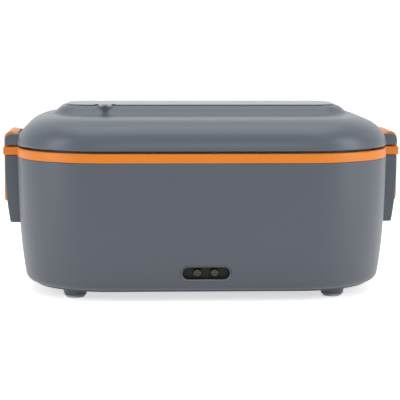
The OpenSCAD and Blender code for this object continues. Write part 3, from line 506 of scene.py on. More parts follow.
def cover_plastic(context):
    """The lid's grey off a polished mould, so the flat cover mirrors more."""
    size, tints = context.scene.lunch_box_sizes, context.scene.lunch_box_colours
    return moulded_polypropylene("Polished polypropylene, slate cover", tints.lid, size.grain, 0.24)


def orange_plastic(context):
    """The orange of the ring, basin and clips."""
    size, tints = context.scene.lunch_box_sizes, context.scene.lunch_box_colours
    return moulded_polypropylene("Satin polypropylene, orange", tints.orange, size.grain, 0.4, 0.03)


# ---------------------------------------------------------------- moulded shapes

def casing_inset(size, height):
    """How far the casing's wall lies inside the rim's outline at a height."""
    depth = max(0, (size.casing_top - height) / (size.casing_top - size.casing_bottom))
    belly_power = 3.2
    return size.casing_draft * depth + size.casing_belly * depth ** belly_power


def casing_profile(size, wall):
    """Closed profile of the casing's wall, its round bottom edge and the flange inside it."""
    turn = 12  # degrees by which the wall leans where the round edge starts
    edge, flange_w, steps = 0.35 * MM, 5 * MM, 26
    arc_z = size.casing_bottom + size.bottom_round * (1 - sin(radians(turn)))
    arc_reach = size.corner_r - casing_inset(size, arc_z) - size.bottom_round * cos(radians(turn))
    centre = (arc_reach, arc_z + size.bottom_round * sin(radians(turn)))
    line = [size.casing_top + (arc_z - size.casing_top) * i / steps for i in range(steps + 1)]
    outside = [(size.corner_r - casing_inset(size, z), z) for z in line]
    inside = [(reach - wall, z) for reach, z in outside]
    outside[0] = (size.corner_r, size.casing_top - edge)
    seam = [(size.corner_r - edge, size.casing_top)]
    flange = arc_reach - flange_w
    return (seam + outside
            + arc(centre, size.bottom_round, -turn, -90, 10)[1:]
            + [(flange, size.casing_bottom), (flange, size.casing_bottom + wall)]
            + arc(centre, size.bottom_round - wall, -90, -turn, 8)
            + inside[-2::-1])


def obround(bm, length_x, height_z, centre_z, y):
    """Loop with round ends in an upright plane at y, made flat and then stood up."""
    hair = 0.0005 * MM  # keeps the two bends of each round end apart
    spine = Vector((length_x / 2 - height_z / 2, hair))
    edges = outline(bm, spine, height_z / 2, 0, 20)
    verts = list({v for e in edges for v in e.verts})
    stand = Matrix.Translation((0, y, centre_z)) @ Matrix.Rotation(radians(90), 4, "X")
    bmesh.ops.transform(bm, matrix=stand, verts=verts)
    return edges


def obround_solid(length_x, height_z, centre_z, y0, y1):
    """A bar with round ends along Y, as a bmesh of its own."""
    bm = bmesh.new()
    face = fill(bm, obround(bm, length_x, height_z, centre_z, y0))
    made = bmesh.ops.extrude_face_region(bm, geom=face)["geom"]
    bmesh.ops.translate(bm, verts=verts_in(made), vec=(0, y1 - y0, 0))
    return bm


def ear_cheeks(bm, size, points, root, rounding):
    """Mirrors an ear's side outline to its two cheeks at both ends of the box."""
    play = 0.5 * MM
    gap = size.clip_w / 2 + play
    for end in ENDS:
        for side in ENDS:
            verts = prism(bm, [(end * x, z) for x, z in points], side * gap, side * size.ear_w / 2)
            soften_cheek(bm, verts, end * root, rounding)


def soften_cheek(bm, verts, root, rounding):
    """Rounds a cheek's free edges and leaves the ones sunk in the wall."""
    free = [e for e in sharp_edges(bm, verts) if any(abs(v.co.x - root) > 2 * NEAR for v in e.verts)]
    round_off(bm, free, rounding, 4)


class LUNCHBOX_OT_casing(bpy.types.Operator):
    """Grey casing with its four cheeks and the inlet's opening"""

    bl_idname = "lunchbox.casing"
    bl_label = "Casing"

    def execute(self, context):
        size = context.scene.lunch_box_sizes
        bm = bmesh.new()
        closed_sweep(bm, rim_spine(size), casing_profile(size, WALL))
        tidy(bm)
        root = ear_root(size)
        ear_bottom, tuck, steps = 40.2 * MM, 3 * MM, 12
        tuck_from = size.casing_top - 6 * MM
        front = [(size.ear_reach - tuck * (i / steps) ** 2, tuck_from + (ear_bottom - tuck_from) * i / steps)
                 for i in range(steps + 1)]
        side = [(root, size.casing_top), (size.ear_reach, size.casing_top)] + front + [(root, ear_bottom)]
        ear_cheeks(bm, size, side, root, 1.1 * MM)
        piece = new_object("casing", bm, casing_plastic(context))
        front_y, through = -size.rim_width / 2, 18 * MM
        cut(piece, [obround_solid(size.inlet_l, size.inlet_h, size.inlet_z, front_y, front_y + through)])
        dress(piece, "base", "outer_shell")
        return {"FINISHED"}


class LUNCHBOX_OT_ring(bpy.types.Operator):
    """Orange ring with its ears and catch ledges"""

    bl_idname = "lunchbox.ring"
    bl_label = "Ring"

    def execute(self, context):
        size = context.scene.lunch_box_sizes
        rim, top = size.corner_r, size.casing_top + size.ring_h
        bottom, edge, under = size.casing_top, 0.9 * MM, 0.3 * MM
        lip = rim - size.ring_lip_w
        foot = lip - 0.6 * MM
        bm = bmesh.new()
        closed_sweep(bm, rim_spine(size), (
            [(rim - under, bottom), (rim, bottom + under)]
            + arc((rim - edge, top - edge), edge, 0, 90, 6)
            + arc((lip + edge / 2, top - edge / 2), edge / 2, 90, 170, 4)
            + [(foot, bottom + 2 * MM), (foot, bottom)]))
        tidy(bm)
        root = ear_root(size)
        reach, ear_top = size.ear_reach + 1 * MM, top - 0.4 * MM
        side = [(root, bottom), (reach, bottom), (reach, ear_top), (root, ear_top)]
        ear_cheeks(bm, size, side, root, 0.8 * MM)
        width, ledge = size.clip_w / 2 + 1 * MM, 4.8 * MM
        for end in ENDS:
            x0, x1 = sorted((end * root, end * (root + ledge)))
            verts = block(bm, (x0, -width, bottom), (x1, width, top - 1 * MM))
            soften(bm, verts, 0.4 * MM)
        dress(new_object("orange_ring", bm, orange_plastic(context)), "base", "liner_frame")
        return {"FINISHED"}


class LUNCHBOX_OT_basin(bpy.types.Operator):
    """Basin inside the ring, with the round hole for the heating plate"""

    bl_idname = "lunchbox.basin"
    bl_label = "Basin"

    def execute(self, context):
        size = context.scene.lunch_box_sizes
        spine = rim_spine(size)
        low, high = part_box("liner_basin")
        flange = high.x - spine.x
        inside, wall, draft, bend = flange - 10 * MM, 2 * MM, 1.4 * MM, 4 * MM
        foot = inside - draft - bend
        floor, edge, flat, overlap = 27 * MM, 0.6 * MM, 4 * MM, 1 * MM
        bm = bmesh.new()
        closed_sweep(bm, spine, (
            [(flange, high.z - wall), (flange, high.z), (inside + edge, high.z), (inside, high.z - edge)]
            + arc((foot, floor + bend), bend, 0, -90, 8)
            + [(foot - flat, floor), (foot - flat, floor - wall)]
            + arc((foot, floor + bend), bend + wall, -90, 0, 8)
            + [(inside + wall, high.z - wall)]))
        self.floor(bm, spine, foot - flat + overlap, floor, wall)
        tidy(bm)
        post_x, post_y, post_r = 68 * MM, 36 * MM, 3.6 * MM
        post_top = floor - wall / 2
        for x in ENDS:
            for y in ENDS:
                middle = Matrix.Translation((x * post_x, y * post_y, (low.z + post_top) / 2))
                cylinder(bm, post_r, post_top - low.z, middle)
        dress(new_object("orange_basin", bm, orange_plastic(context)), "base", "liner_basin")
        return {"FINISHED"}

    def floor(self, bm, spine, reach, height, wall):
        """Basin floor with the round hole for the heating plate."""
        hole_r = 50.2 * MM
        around = outline(bm, spine, reach, height)
        hole = bmesh.ops.create_circle(
            bm, segments=len(around), radius=hole_r, matrix=Matrix.Translation((0, 0, height)))
        hole_edges = list({e for v in hole["verts"] for e in v.link_edges})
        faces = bmesh.ops.bridge_loops(bm, edges=around + hole_edges)["faces"]
        made = bmesh.ops.extrude_face_region(bm, geom=faces)["geom"]
        bmesh.ops.translate(bm, verts=verts_in(made), vec=(0, 0, -wall))


class LUNCHBOX_OT_tub(bpy.types.Operator):
    """Stainless tub with its rolled rim"""

    bl_idname = "lunchbox.tub"
    bl_label = "Steel tub"

    def execute(self, context):
        size = context.scene.lunch_box_sizes
        low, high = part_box("food_container")
        spine = rim_spine(size)
        sheet, bend = 0.8 * MM, 9 * MM
        rim = high.x - spine.x
        rim_w, lean, flat = 6.8 * MM, 1.4 * MM, 12 * MM
        wall = rim - rim_w
        floor = wall - lean - bend
        hem, hem_in = 1.6 * MM, 2 * MM
        roll, roll_inside = 2 * MM, 1.2 * MM
        roll_at = (wall + roll_inside, high.z - roll)
        bm = bmesh.new()
        profile = (
            [(floor - flat, low.z + sheet)]
            + arc((floor, low.z + bend), bend - sheet, -90, 0, 10)
            + arc(roll_at, roll, 180, 90, 6)
            + arc((rim - hem / 2, high.z - hem / 2), hem / 2, 90, -90, 8)
            + [(rim - hem_in, high.z - hem), (rim - hem_in, high.z - sheet)]
            + arc(roll_at, roll_inside, 90, 180, 6)
            + arc((floor, low.z + bend), bend, 0, -90, 10)
            + [(floor - flat, low.z)])
        first, last = sweep(bm, spine, profile)
        fill(bm, first)
        fill(bm, last)
        tidy(bm)
        steel = pressed_stainless("Pressed stainless steel, tub", context.scene.lunch_box_colours.steel)
        dress(new_object("steel_tub", bm, steel), "tub", "food_container", 40)
        return {"FINISHED"}


def lid_height(size, x, y):
    """Height of the lid's outer skin: the dome, and the platform's S-shaped foot on it."""
    point = Vector((x, y))
    start = lid_edge(size) + LID_SKIRT
    spine = rim_spine(size)
    inset = size.corner_r - (point - foot_on(spine, point)).length
    left = max(0, 1 - inset / size.lid_edge_w)
    dome = start + size.lid_edge_h * sqrt(max(0, 1 - left * left))
    around = cover_spine(size)
    outward = (point - foot_on(around, point)).length - size.cover_r - PLATFORM_EDGE
    share = max(0, min(1, outward / size.platform_foot_w))
    return dome + (platform_top(size) - dome) * (1 + cos(pi * share)) / 2


class LUNCHBOX_OT_lid(bpy.types.Operator):
    """Domed lid with its platform, compartment, vent boss and ears"""

    bl_idname = "lunchbox.lid"
    bl_label = "Lid"

    def execute(self, context):
        size = context.scene.lunch_box_sizes
        bm = bmesh.new()
        self.skin(bm, size)
        piece = new_object("lid", bm, lid_plastic(context))
        wall = piece.modifiers.new("wall", "SOLIDIFY")
        wall.thickness = WALL
        wall.offset = -1
        wall.use_even_offset = True
        apply_modifiers(piece)
        self.round_edges(piece, size)
        cut(piece, [self.tongue(size)], "UNION")
        cut(piece, [self.hinge_groove(size), self.vent_hole()])
        bm = bmesh.new()
        bm.from_mesh(piece.data)
        self.hinge_lugs(bm, size)
        self.vent_boss(bm)
        tidy(bm)
        self.ears(bm, size)
        bm.to_mesh(piece.data)
        bm.free()
        dress(piece, "lid", "lid_shell")
        return {"FINISHED"}

    def skin(self, bm, size):
        """Outer skin from the pocket's floor, over the ledge and the platform, to the lower edge."""
        around, spine = cover_spine(size), rim_spine(size)
        edge, platform = lid_edge(size), platform_top(size)
        start = edge + LID_SKIRT
        pocket_depth, ledge_w, play = 12.4 * MM, 5 * MM, 0.4 * MM
        ledge = platform + COVER_STEP - COVER_SHEET
        pocket = ledge - pocket_depth
        inner = size.cover_r - ledge_w
        gap = size.cover_r + play
        floor, rim_top = sweep(bm, around, [(inner, pocket), (inner, ledge), (gap, ledge), (gap, platform)])
        fill(bm, floor)
        foot_steps = 16
        foot = rim_top
        for i in range(1, foot_steps + 1):
            reach = size.cover_r + PLATFORM_EDGE + size.platform_foot_w * i / foot_steps
            foot = push(bm, foot, around, reach, platform)
        shoulder, bend_step = 40 * MM, 3
        crown = size.corner_r - size.lid_edge_w
        bend = [crown + size.lid_edge_w * cos(radians(a)) for a in range(0, 91, bend_step)]
        dome = [(reach, start) for reach in bend if reach > shoulder]
        _, top = sweep(bm, spine, [(size.corner_r, edge)] + dome + [(shoulder, start)])
        bridge = bmesh.ops.bridge_loops(bm, edges=foot + top)
        cross = [e for e in bridge["edges"] if e.is_valid]
        bmesh.ops.subdivide_edges(bm, edges=cross, cuts=7, use_grid_fill=True)
        flat = size.cover_r + PLATFORM_EDGE - NEAR
        for vert in bm.verts:
            on_slope = (vert.co.xy - foot_on(around, vert.co.xy)).length > flat
            if on_slope and vert.co.z > edge + 2 * NEAR:
                vert.co.z = lid_height(size, vert.co.x, vert.co.y)
        tidy(bm)

    def round_edges(self, piece, size):
        """Rounds the rim's lower edge and the edges round the cover's seat."""
        edge, platform, around = lid_edge(size), platform_top(size), cover_spine(size)
        bm = bmesh.new()
        bm.from_mesh(piece.data)
        bmesh.ops.recalc_face_normals(bm, faces=bm.faces)
        rim, seat = [], []
        for item in bm.edges:
            if not item.is_manifold or item.calc_face_angle(0) < radians(50):
                continue
            middle = (item.verts[0].co + item.verts[1].co) / 2
            outward = (middle.xy - foot_on(around, middle.xy)).length - size.cover_r
            if middle.z < edge + NEAR:
                rim.append(item)
            elif middle.z > platform - NEAR and outward < 0.6 * MM:
                seat.append(item)
        for edges, width in ((rim, 0.5 * MM), (seat, 0.4 * MM)):
            round_off(bm, edges, width)
        bm.to_mesh(piece.data)
        bm.free()

    def tongue(self, size):
        """Tongue of the platform that fills the cover's bay round the steam vent."""
        middle, edge = plug_axis().x, size.cover_w / 2
        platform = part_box("compartment_cover")[1].z - COVER_STEP
        half, sunk, reach, depth = 5.8 * MM, 0.6 * MM, 4.8 * MM, 1.6 * MM
        bm = bmesh.new()
        block(bm, (middle - half, -edge - sunk, platform - depth), (middle + half, -edge + reach, platform))
        top = [e for e in bm.edges if all(v.co.z > platform - 2 * NEAR for v in e.verts)
               and any(v.co.y > -edge for v in e.verts)]
        round_off(bm, top, 0.3 * MM, clamp=False)
        return bm

    def hinge_groove(self, size):
        """Cutter for the groove in which the cover's barrel turns."""
        bm = bmesh.new()
        groove_r, reach = 2.2 * MM, size.cover_l / 2 - size.cover_r / 2
        rod(bm, cover_hinge(size), groove_r, -reach, reach)
        return bm

    def vent_hole(self):
        """Cutter for the hole through the lid in which the vent's boss stands."""
        bm = bmesh.new()
        low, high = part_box("vent_plug")
        middle = plug_axis()
        middle.z = (low.z + high.z) / 2
        hole_r, through = 4.7 * MM, 40 * MM
        cylinder(bm, hole_r, through, Matrix.Translation(middle), 48)
        return bm

    def hinge_lugs(self, bm, size):
        """The two lugs that hold the cover's pins."""
        axis = cover_hinge(size)
        radius, depth, half = 1.3 * MM, 4 * MM, 1.8 * MM
        side = [(-radius, -depth), (radius, -depth)] + arc((0, 0), radius, 0, 180, 12)
        place = Matrix.Translation((0, axis.y, axis.z)) @ Matrix.Rotation(radians(90), 4, "Z")
        for end in ENDS:
            lug = prism(bm, side, half - end * LUG_X, -half - end * LUG_X)
            bmesh.ops.transform(bm, matrix=place, verts=lug)
            soften(bm, lug, 0.2 * MM, 2, 50)

    def vent_boss(self, bm):
        """Round boss, with a rim round the plug's seat and the bore inside."""
        low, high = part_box("vent_plug")
        bore, inside, outside, foot = 2.5 * MM, 4.3 * MM, 5 * MM, low.z - 3 * MM
        seat = high.z - PLUG_HEIGHT
        floor, rim = seat - 0.1 * MM, seat + 0.6 * MM
        turned(bm, [
            (bore, foot), (bore, floor), (inside, floor), (inside, rim - 0.15 * MM),
            (inside + 0.15 * MM, rim), (outside - 0.2 * MM, rim), (outside, rim - 0.2 * MM),
            (outside, foot), (bore, foot)], plug_axis())

    def ears(self, bm, size):
        """Four cheeks that carry the clips."""
        gap, below_top = 0.3 * MM, 17.5 * MM
        low = size.casing_top + size.ring_h + gap
        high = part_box("lid_shell")[1].z - below_top
        root, corner = ear_root(size), 3.8 * MM
        side = [(root, low), (size.ear_reach, low)]
        side += arc((size.ear_reach - corner, high - corner), corner, 0, 90, 8)
        side += [(root, high)]
        ear_cheeks(bm, size, side, root, 0.7 * MM)


class LUNCHBOX_OT_cover(bpy.types.Operator):
    """Flat cover of the compartment, with its hinge barrel, rib and notches"""

    bl_idname = "lunchbox.cover"
    bl_label = "Compartment cover"

    def execute(self, context):
        size = context.scene.lunch_box_sizes
        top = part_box("compartment_cover")[1].z
        bottom, rib = top - COVER_SHEET, top - COVER_SHEET - 1.5 * MM
        reach, edge, under = size.cover_r, 0.6 * MM, 0.3 * MM
        bm = bmesh.new()
        first, last = sweep(bm, cover_spine(size), (
            [(reach - 9 * MM, bottom), (reach - 7.4 * MM, bottom), (reach - 7.2 * MM, rib),
             (reach - 6 * MM, rib), (reach - 5.8 * MM, bottom), (reach - under, bottom),
             (reach, bottom + under)]
            + arc((reach - edge, top - edge), edge, 0, 90, 6)
            + [(reach - 3 * MM, top)]))
        fill(bm, first)
        fill(bm, last)
        tidy(bm)
        piece = new_object("compartment_cover_panel", bm, cover_plastic(context))
        cut(piece, [self.vent_bay(size), self.hinge_notches(size)])
        bm = bmesh.new()
        bm.from_mesh(piece.data)
        self.barrel(bm, size)
        bm.to_mesh(piece.data)
        bm.free()
        dress(piece, "cover", "compartment_cover")
        return {"FINISHED"}

    def vent_bay(self, size):
        """Cutter for the bay in the front edge that leaves room for the steam plug."""
        middle, front, top = plug_axis().x, -size.cover_w / 2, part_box("vent_plug")[1].z
        half, reach, corner = 6.2 * MM, 5.2 * MM, 0.8 * MM
        bm = bmesh.new()
        block(bm, (middle - half, front - 5 * MM, top - 6 * MM), (middle + half, front + reach, top + 3 * MM))
        upright = [e for e in bm.edges if all(v.co.y > front for v in e.verts)
                   and e.verts[0].co.xy == e.verts[1].co.xy]
        round_off(bm, upright, corner, 8, clamp=False)
        return bm

    def hinge_notches(self, size):
        """Cutter for the two gaps round the lid's lugs."""
        bm = bmesh.new()
        back, top = size.cover_w / 2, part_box("compartment_cover")[1].z
        for end in ENDS:
            lug = end * LUG_X
            block(bm, (lug - LUG_GAP, back - 3.6 * MM, top - 5 * MM),
                  (lug + LUG_GAP, back + 5 * MM, top + 3 * MM))
        return bm

    def barrel(self, bm, size):
        """Round barrel along the back edge, in three lengths between the lugs."""
        radius, reach, gap = 1.38 * MM, size.cover_l / 2 - size.cover_r, LUG_GAP
        for x0, x1 in ((-reach, -LUG_X - gap), (-LUG_X + gap, LUG_X - gap), (LUG_X + gap, reach)):
            rod(bm, cover_hinge(size), radius, x0, x1)


class LUNCHBOX_OT_clips(bpy.types.Operator):
    """The two orange clips"""

    bl_idname = "lunchbox.clips"
    bl_label = "Clips"

    def execute(self, context):
        size = context.scene.lunch_box_sizes
        for node, body, end in (("clip_left", "left_clip", -1), ("clip_right", "right_clip", 1)):
            low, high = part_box(node)
            face = max(abs(low.x), abs(high.x))
            side = Matrix.Diagonal((end, 1, 1, 1))
            bm = bmesh.new()
            self.lever(bm, size, face, low.z, high.z - KNUCKLE_R)
            self.hook(bm, size, face)
            scoop = bmesh.new()
            self.scoop(scoop, size, face, low.z)
            for solid in (bm, scoop):
                bmesh.ops.transform(solid, matrix=side, verts=solid.verts)
            tidy(bm)
            piece = new_object(f"{node}_lever", bm, orange_plastic(context))
            cut(piece, [scoop])
            dress(piece, body, node, 40)
        return {"FINISHED"}

    def lever(self, bm, size, face, tip, pivot_z):
        """Plate and knuckle in one side outline, drawn across the clip's width, with its trunnions."""
        inside, pivot_x, half = face - CLIP_PLATE, face - KNUCKLE_R, size.clip_w / 2
        meet = -75.5  # degrees at which the knuckle runs into the plate's back
        corner = 5 * MM
        side = [(face, tip), (inside, tip)] + arc((pivot_x, pivot_z), KNUCKLE_R, meet, -360, 30)
        prism(bm, side, -half, half)
        bmesh.ops.recalc_face_normals(bm, faces=bm.faces)
        corners = [e for e in bm.edges if all(abs(v.co.z - tip) < NEAR for v in e.verts)
                   and e.verts[0].co.y == e.verts[1].co.y]
        round_off(bm, corners, corner, 10, clamp=False)
        soften(bm, bm.verts[:], 0.7 * MM, 4, 38)
        trunnion_r, trunnion_l, trunnion_y = 1.2 * MM, 3.5 * MM, half + 1.7 * MM
        for end in ENDS:
            middle = Matrix.Translation((pivot_x, end * trunnion_y, pivot_z))
            cylinder(bm, trunnion_r, trunnion_l, middle @ Matrix.Rotation(radians(90), 4, "X"), 24)

    def hook(self, bm, size, face):
        """Catch hook behind the plate."""
        inside, top = face - CLIP_PLATE, size.casing_top - 0.4 * MM
        nose, root = inside - 4 * MM, inside + 0.8 * MM
        half = size.clip_w / 2 - 0.1 * MM
        verts = prism(bm, [
            (root, top - 4 * MM), (inside, top - 3.4 * MM), (nose + 1.6 * MM, top - 2.6 * MM),
            (nose, top - 1.4 * MM), (nose, top), (root, top)], -half, half)
        soften(bm, verts, 0.25 * MM)

    def scoop(self, bm, size, face, tip):
        """Cutter for the thumb scoop behind the free end."""
        inside, half = face - CLIP_PLATE, size.clip_w / 2 - 6 * MM
        free, low, high = inside - 1 * MM, tip - 1 * MM, tip + 12 * MM
        side = [(free, low), (inside + 1.1 * MM, low), (inside - 0.01 * MM, high), (free, high)]
        prism(bm, side, -half, half)


class LUNCHBOX_OT_inlet(bpy.types.Operator):
    """Black inlet moulding with its collars and the two plated pins"""

    bl_idname = "lunchbox.inlet"
    bl_label = "Inlet"

    def execute(self, context):
        size, tints = context.scene.lunch_box_sizes, context.scene.lunch_box_colours
        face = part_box("inlet_socket")[0].y
        low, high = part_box("inlet_pins")
        bm = bmesh.new()
        self.moulding(bm, size, face)
        sunk, front, outside, inside = 1 * MM, -3 * MM, 3.4 * MM, 2.4 * MM
        for side in ENDS:
            self.stand(bm, side, size, face + INLET_DEPTH, [
                (outside, sunk), (outside, front + 0.3 * MM), (outside - 0.3 * MM, front),
                (inside + 0.15 * MM, front), (inside, front + 0.4 * MM), (inside, sunk), (outside, sunk)])
        tidy(bm)
        black = moulded_polypropylene("Black phenolic, inlet", tints.black, 0.5 * MM, 0.6, 0.1)
        piece = new_object("inlet_moulding", bm, black)
        # The mouth's front faces get the lip's grey, painted lighter than the casing as a highlight.
        grey = moulded_polypropylene("Satin polypropylene, inlet lip with painted highlight", tints.lip, size.grain, 0.35)
        piece.data.materials.append(grey)
        lip_front = face + 0.25 * MM
        for polygon in piece.data.polygons:
            polygon.material_index = polygon.center.y < lip_front
        dress(piece, "base", "inlet_socket", 30)
        bm = bmesh.new()
        bend, head, shank, tail = 0.9 * MM, 2.5 * MM, 2.1 * MM, 1.3 * MM
        collar, step, back = 4.8 * MM, 11.7 * MM, high.y - low.y
        for side in ENDS:
            self.stand(bm, side, size, low.y, (
                [(0, 0.55 * MM), (0.5 * MM, 0.5 * MM), (1.2 * MM, 0.15 * MM)]
                + arc((head - bend, bend), bend, -90, 0, 6)
                + [(head, collar), (shank, collar), (shank, step), (tail, step), (tail, back), (0, back)]))
        tidy(bm)
        # The pins' dark tint is painted shade for the recess they mirror, not the plating's own colour.
        plated = plated_metal("Nickel plated brass with painted shade, contact pins", tints.pins, 0.18)
        dress(new_object("contact_pins", bm, plated), "base", "inlet_pins", 40)
        return {"FINISHED"}

    def stand(self, bm, side, size, y, profile):
        """Spins a profile and lays it along +Y at a pin's place."""
        before = set(bm.verts)
        turned(bm, profile, Vector(), 36)
        made = [v for v in bm.verts if v not in before]
        place = Matrix.Translation((side * PIN_X, y, size.inlet_z)) @ Matrix.Rotation(radians(-90), 4, "X")
        bmesh.ops.transform(bm, matrix=place, verts=made)

    def moulding(self, bm, size, face):
        """Lip, recess walls and recess floor."""
        play, lip, edge = 0.2 * MM, 0.9 * MM, 0.3 * MM
        back, mouth = face + 4.8 * MM, 2 * lip
        narrower = (
            (0, back), (0, face + edge), (2 * edge, face),
            (mouth - 0.4 * MM, face), (mouth, face + edge), (mouth + 0.2 * MM, face + INLET_DEPTH))
        edges = [obround(bm, size.inlet_l - play - less, size.inlet_h - play - less, size.inlet_z, y)
                 for less, y in narrower]
        for near, far in zip(edges, edges[1:]):
            bmesh.ops.bridge_loops(bm, edges=near + far)
        fill(bm, edges[-1])
        fill(bm, edges[0])


class LUNCHBOX_OT_seal(bpy.types.Operator):
    """Silicone gasket and the steam plug"""

    bl_idname = "lunchbox.seal"
    bl_label = "Gasket and plug"

    def execute(self, context):
        size, tints = context.scene.lunch_box_sizes, context.scene.lunch_box_colours
        silicone = soft_rubber("Moulded silicone, gasket", tints.silicone)
        low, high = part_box("seal_ring")
        spine = rim_spine(size)
        width, lip, lip_h = 5.6 * MM, 1.4 * MM, 1 * MM
        outer, bend = high.x - spine.x, low.z + lip_h
        inner = outer - width
        bm = bmesh.new()
        closed_sweep(bm, spine, (
            [(outer, high.z), (outer, bend)]
            + arc((outer - lip, bend), lip, 0, -90, 6, lip_h)
            + [((outer + inner) / 2, low.z + 1.2 * MM)]
            + arc((inner + lip, bend), lip, -90, -180, 6, lip_h)
            + [(inner, high.z)]))
        tidy(bm)
        dress(new_object("gasket", bm, silicone), "lid", "seal_ring", 40)

        low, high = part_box("vent_plug")
        centre, stem, under, edge = plug_axis(), 2.2 * MM, 0.2 * MM, 0.6 * MM
        seat, top = high.z - PLUG_HEIGHT, high.z - 0.4 * MM
        bm = bmesh.new()
        turned(bm, (
            [(0, low.z), (1.4 * MM, low.z), (stem, low.z + 2 * MM), (stem, seat), (PLUG_R - under, seat),
             (PLUG_R, seat + under)]
            + arc((PLUG_R - edge, top - edge), edge, 0, 90, 5)
            + [(2.5 * MM, top), (2 * MM, top - 0.35 * MM), (0, top - 0.4 * MM)]), centre)
        tab = 1.7 * MM
        verts = block(bm, (centre.x - tab, low.y, top - 0.8 * MM),
                      (centre.x + tab, centre.y + 1.2 * MM, high.z))
        soften(bm, verts, 0.35 * MM)
        tidy(bm)
        grey = soft_rubber("Moulded silicone, steam plug", tints.plug)
        dress(new_object("steam_plug_moulding", bm, grey), "steam_plug", "vent_plug", 40)
        return {"FINISHED"}


class LUNCHBOX_OT_finishes(bpy.types.Operator):
    """Real finishes for the CAD nodes whose shapes are kept"""

    bl_idname = "lunchbox.finishes"
    bl_label = "Finishes of kept nodes"

    def execute(self, context):
        size, tints = context.scene.lunch_box_sizes, context.scene.lunch_box_colours
        zinc = plated_metal("Zinc plated steel, screws", to_linear("#a9a8a3"), 0.3)
        red = moulded_polypropylene("Silicone wire, red", to_linear("#8d2018"), 0.8 * MM, 0.45)
        blue = moulded_polypropylene("Silicone wire, blue", to_linear("#1c2f78"), 0.8 * MM, 0.45)
        pale = to_linear("#a3a5a9")
        liner = moulded_polypropylene("Food-safe polypropylene, lid liner", pale, size.grain, 0.36)
        finishes = {
            "bottom_cover": casing_plastic(context),
            "lid_liner": liner,
            "seal_carrier": liner,
            "rubber_feet": soft_rubber("Moulded rubber, feet", tints.foot, 0.75, 1.5),
            "plate_seal": soft_rubber("Moulded silicone, plate seal", tints.silicone),
            "heating_plate": turned_metal("Spun aluminium, heating plate", to_linear("#c4c6c8")),
            "heater_element": flecked_sheet(
                "Mica sheet, heater", to_linear("#b39a6e"), to_linear("#8f7a55")),
            "thermostat": flecked_sheet(
                "Glazed ceramic, thermostat", to_linear("#d8d4c8"), to_linear("#c9c4b6")),
            "thermal_fuse": flecked_sheet(
                "Glass-fibre sleeve, fuse", to_linear("#e6e4da"), to_linear("#c7c4b8"), 0.8 * MM, 0.8),
            "heater_clamp": zinc,
            "heater_screws": zinc,
            "thermostat_screws": zinc,
            "fuse_clip": zinc,
            "inlet_screws": zinc,
            "bottom_screws": zinc,
            "cover_pins": plated_metal("Drawn stainless, hinge pins", tints.steel, 0.18),
            "terminal_sleeves": red,
            "lead_live": red,
            "lead_feed": red,
            "lead_neutral": blue,
            "lead_link": blue,
        }
        for node, material in finishes.items():
            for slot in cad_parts[node].material_slots:
                slot.material = material
        return {"FINISHED"}


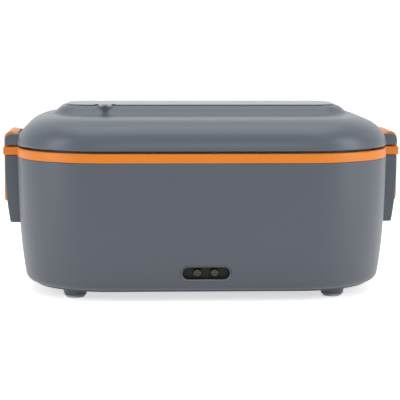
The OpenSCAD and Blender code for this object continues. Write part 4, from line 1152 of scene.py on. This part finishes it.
class LUNCHBOX_OT_stage(bpy.types.Operator):
    """Pale floor, soft studio lamps and the camera"""

    bl_idname = "lunchbox.stage"
    bl_label = "Stage"

    def execute(self, context):
        self.floor(context)
        self.world(context)
        self.lamps(context)
        self.camera(context)
        context.scene.view_settings.view_transform = "Standard"
        return {"FINISHED"}

    def floor(self, context):
        """Floor that runs up behind the object in one sweep."""
        reach, back, bend, height = 6, 2.2, 0.8, 5
        bm = bmesh.new()
        points = [(-reach, 0)] + arc((back, bend), bend, -90, 0, 16) + [(back + bend, height)]
        verts = [bm.verts.new((-reach, y, z)) for y, z in points]
        edges = [bm.edges.new(pair) for pair in zip(verts, verts[1:])]
        made = bmesh.ops.extrude_edge_only(bm, edges=edges)["geom"]
        bmesh.ops.translate(bm, verts=verts_in(made), vec=(2 * reach, 0, 0))
        bmesh.ops.recalc_face_normals(bm, faces=bm.faces)
        material, tree, _ = start_material("Seamless paper, white")
        tint = (*context.scene.lunch_box_colours.backdrop, 1)
        paper = add(tree, "ShaderNodeBsdfDiffuse", {"Color": tint})
        glow = add(tree, "ShaderNodeEmission", {"Color": tint, "Strength": self.seen(tree, 0.62)})
        both = add(tree, "ShaderNodeAddShader", {0: paper.outputs["BSDF"], 1: glow.outputs["Emission"]})
        add(tree, "ShaderNodeOutputMaterial", {"Surface": both.outputs["Shader"]})
        sheet = new_object("paper_sweep", bm, material)
        sheet.data.shade_smooth()

    def seen(self, tree, strength, rest=0.0):
        """Strength for what is seen straight, mirrored or through glass, and another for lighting."""
        path = add(tree, "ShaderNodeLightPath").outputs
        mirrored = add(tree, "ShaderNodeMath", {0: path["Is Camera Ray"], 1: path["Is Glossy Ray"]},
                       operation="MAXIMUM")
        either = add(tree, "ShaderNodeMath", {0: mirrored.outputs[0], 1: path["Is Transmission Ray"]},
                     operation="MAXIMUM")
        blend = add(tree, "ShaderNodeMapRange", {
            "Value": either.outputs[0], "To Min": rest, "To Max": strength})
        return blend.outputs["Result"]

    def world(self, context):
        """Even pale surroundings."""
        world = bpy.data.worlds.new("studio")
        context.scene.world = world
        world.use_nodes = True
        tree = world.node_tree
        tree.nodes.clear()
        cool_white = (0.93, 0.96, 1.0, 1)
        background = add(tree, "ShaderNodeBackground", {
            "Color": cool_white, "Strength": self.seen(tree, 0.8, 0.4)})
        add(tree, "ShaderNodeOutputWorld", {"Surface": background.outputs["Background"]})

    def lamps(self, context):
        """A wide softbox above, one on each side and a weak one in front."""
        for name, place, aim, across, watts in (
                ("softbox_top", (0, 0.15, 1.3), (0, 0, 0.05), (1.4, 1.0), 7.4),
                ("softbox_left", (-1.3, -0.5, 0.5), (0, 0, 0.06), (0.5, 1.2), 6.6),
                ("softbox_right", (1.3, -0.5, 0.5), (0, 0, 0.06), (0.5, 1.2), 8),
                ("softbox_front", (0.1, -1.7, 0.8), (0, 0, 0.05), (0.6, 0.5), 2.4)):
            lamp = bpy.data.lights.new(name, "AREA")
            lamp.shape = "RECTANGLE"
            lamp.size, lamp.size_y = across
            lamp.energy = watts
            holder = bpy.data.objects.new(name, lamp)
            holder.location = place
            holder.rotation_euler = (Vector(aim) - Vector(place)).to_track_quat("-Z", "Y").to_euler()
            context.scene.collection.objects.link(holder)

    def camera(self, context):
        """Nearly level view of the front, from the photograph's place."""
        distance, yaw, height, aim_z, roll = 1.0, radians(-2.6), 0.1636, 0.05075, radians(0.125)
        camera = bpy.data.cameras.new("camera")
        camera.sensor_width, camera.lens = 36, 145.3
        camera.clip_start, camera.clip_end = 0.05, 30
        holder = bpy.data.objects.new("camera", camera)
        holder.location = (distance * sin(yaw), -distance * cos(yaw), height)
        look = (Vector((0, 0, aim_z)) - holder.location).to_track_quat("-Z", "Y").to_matrix()
        holder.rotation_euler = (look @ Matrix.Rotation(roll, 3, "Z")).to_euler()
        context.scene.collection.objects.link(holder)
        context.scene.camera = holder


class LUNCHBOX_PT_panel(bpy.types.Panel):
    """Buttons for the lunch box's pieces"""

    bl_idname = "LUNCHBOX_PT_panel"
    bl_label = "Lunch box"
    bl_space_type = "VIEW_3D"
    bl_region_type = "UI"
    bl_category = "Lunch box"

    def draw(self, context):
        for operator in OPERATORS:
            self.layout.operator(operator.bl_idname)
        for group in (context.scene.lunch_box_sizes, context.scene.lunch_box_colours):
            column = self.layout.column(align=True)
            for name in group.__annotations__:
                column.prop(group, name)


OPERATORS = (
    LUNCHBOX_OT_stage,
    LUNCHBOX_OT_casing,
    LUNCHBOX_OT_ring,
    LUNCHBOX_OT_basin,
    LUNCHBOX_OT_tub,
    LUNCHBOX_OT_lid,
    LUNCHBOX_OT_cover,
    LUNCHBOX_OT_clips,
    LUNCHBOX_OT_inlet,
    LUNCHBOX_OT_seal,
    LUNCHBOX_OT_finishes,
)
CLASSES = (LunchBoxSizes, LunchBoxColours, *OPERATORS, LUNCHBOX_PT_panel)


def register():
    """Registers the classes and hangs the two groups on the scene."""
    for item in CLASSES:
        bpy.utils.register_class(item)
    bpy.types.Scene.lunch_box_sizes = PointerProperty(type=LunchBoxSizes)
    bpy.types.Scene.lunch_box_colours = PointerProperty(type=LunchBoxColours)


def unregister():
    """Takes back what register does."""
    del bpy.types.Scene.lunch_box_colours
    del bpy.types.Scene.lunch_box_sizes
    for item in reversed(CLASSES):
        bpy.utils.unregister_class(item)


def main():
    """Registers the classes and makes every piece."""
    register()
    for operator in OPERATORS:
        group, name = operator.bl_idname.split(".")
        getattr(getattr(bpy.ops, group), name)()


if __name__ == "__main__":
    main()
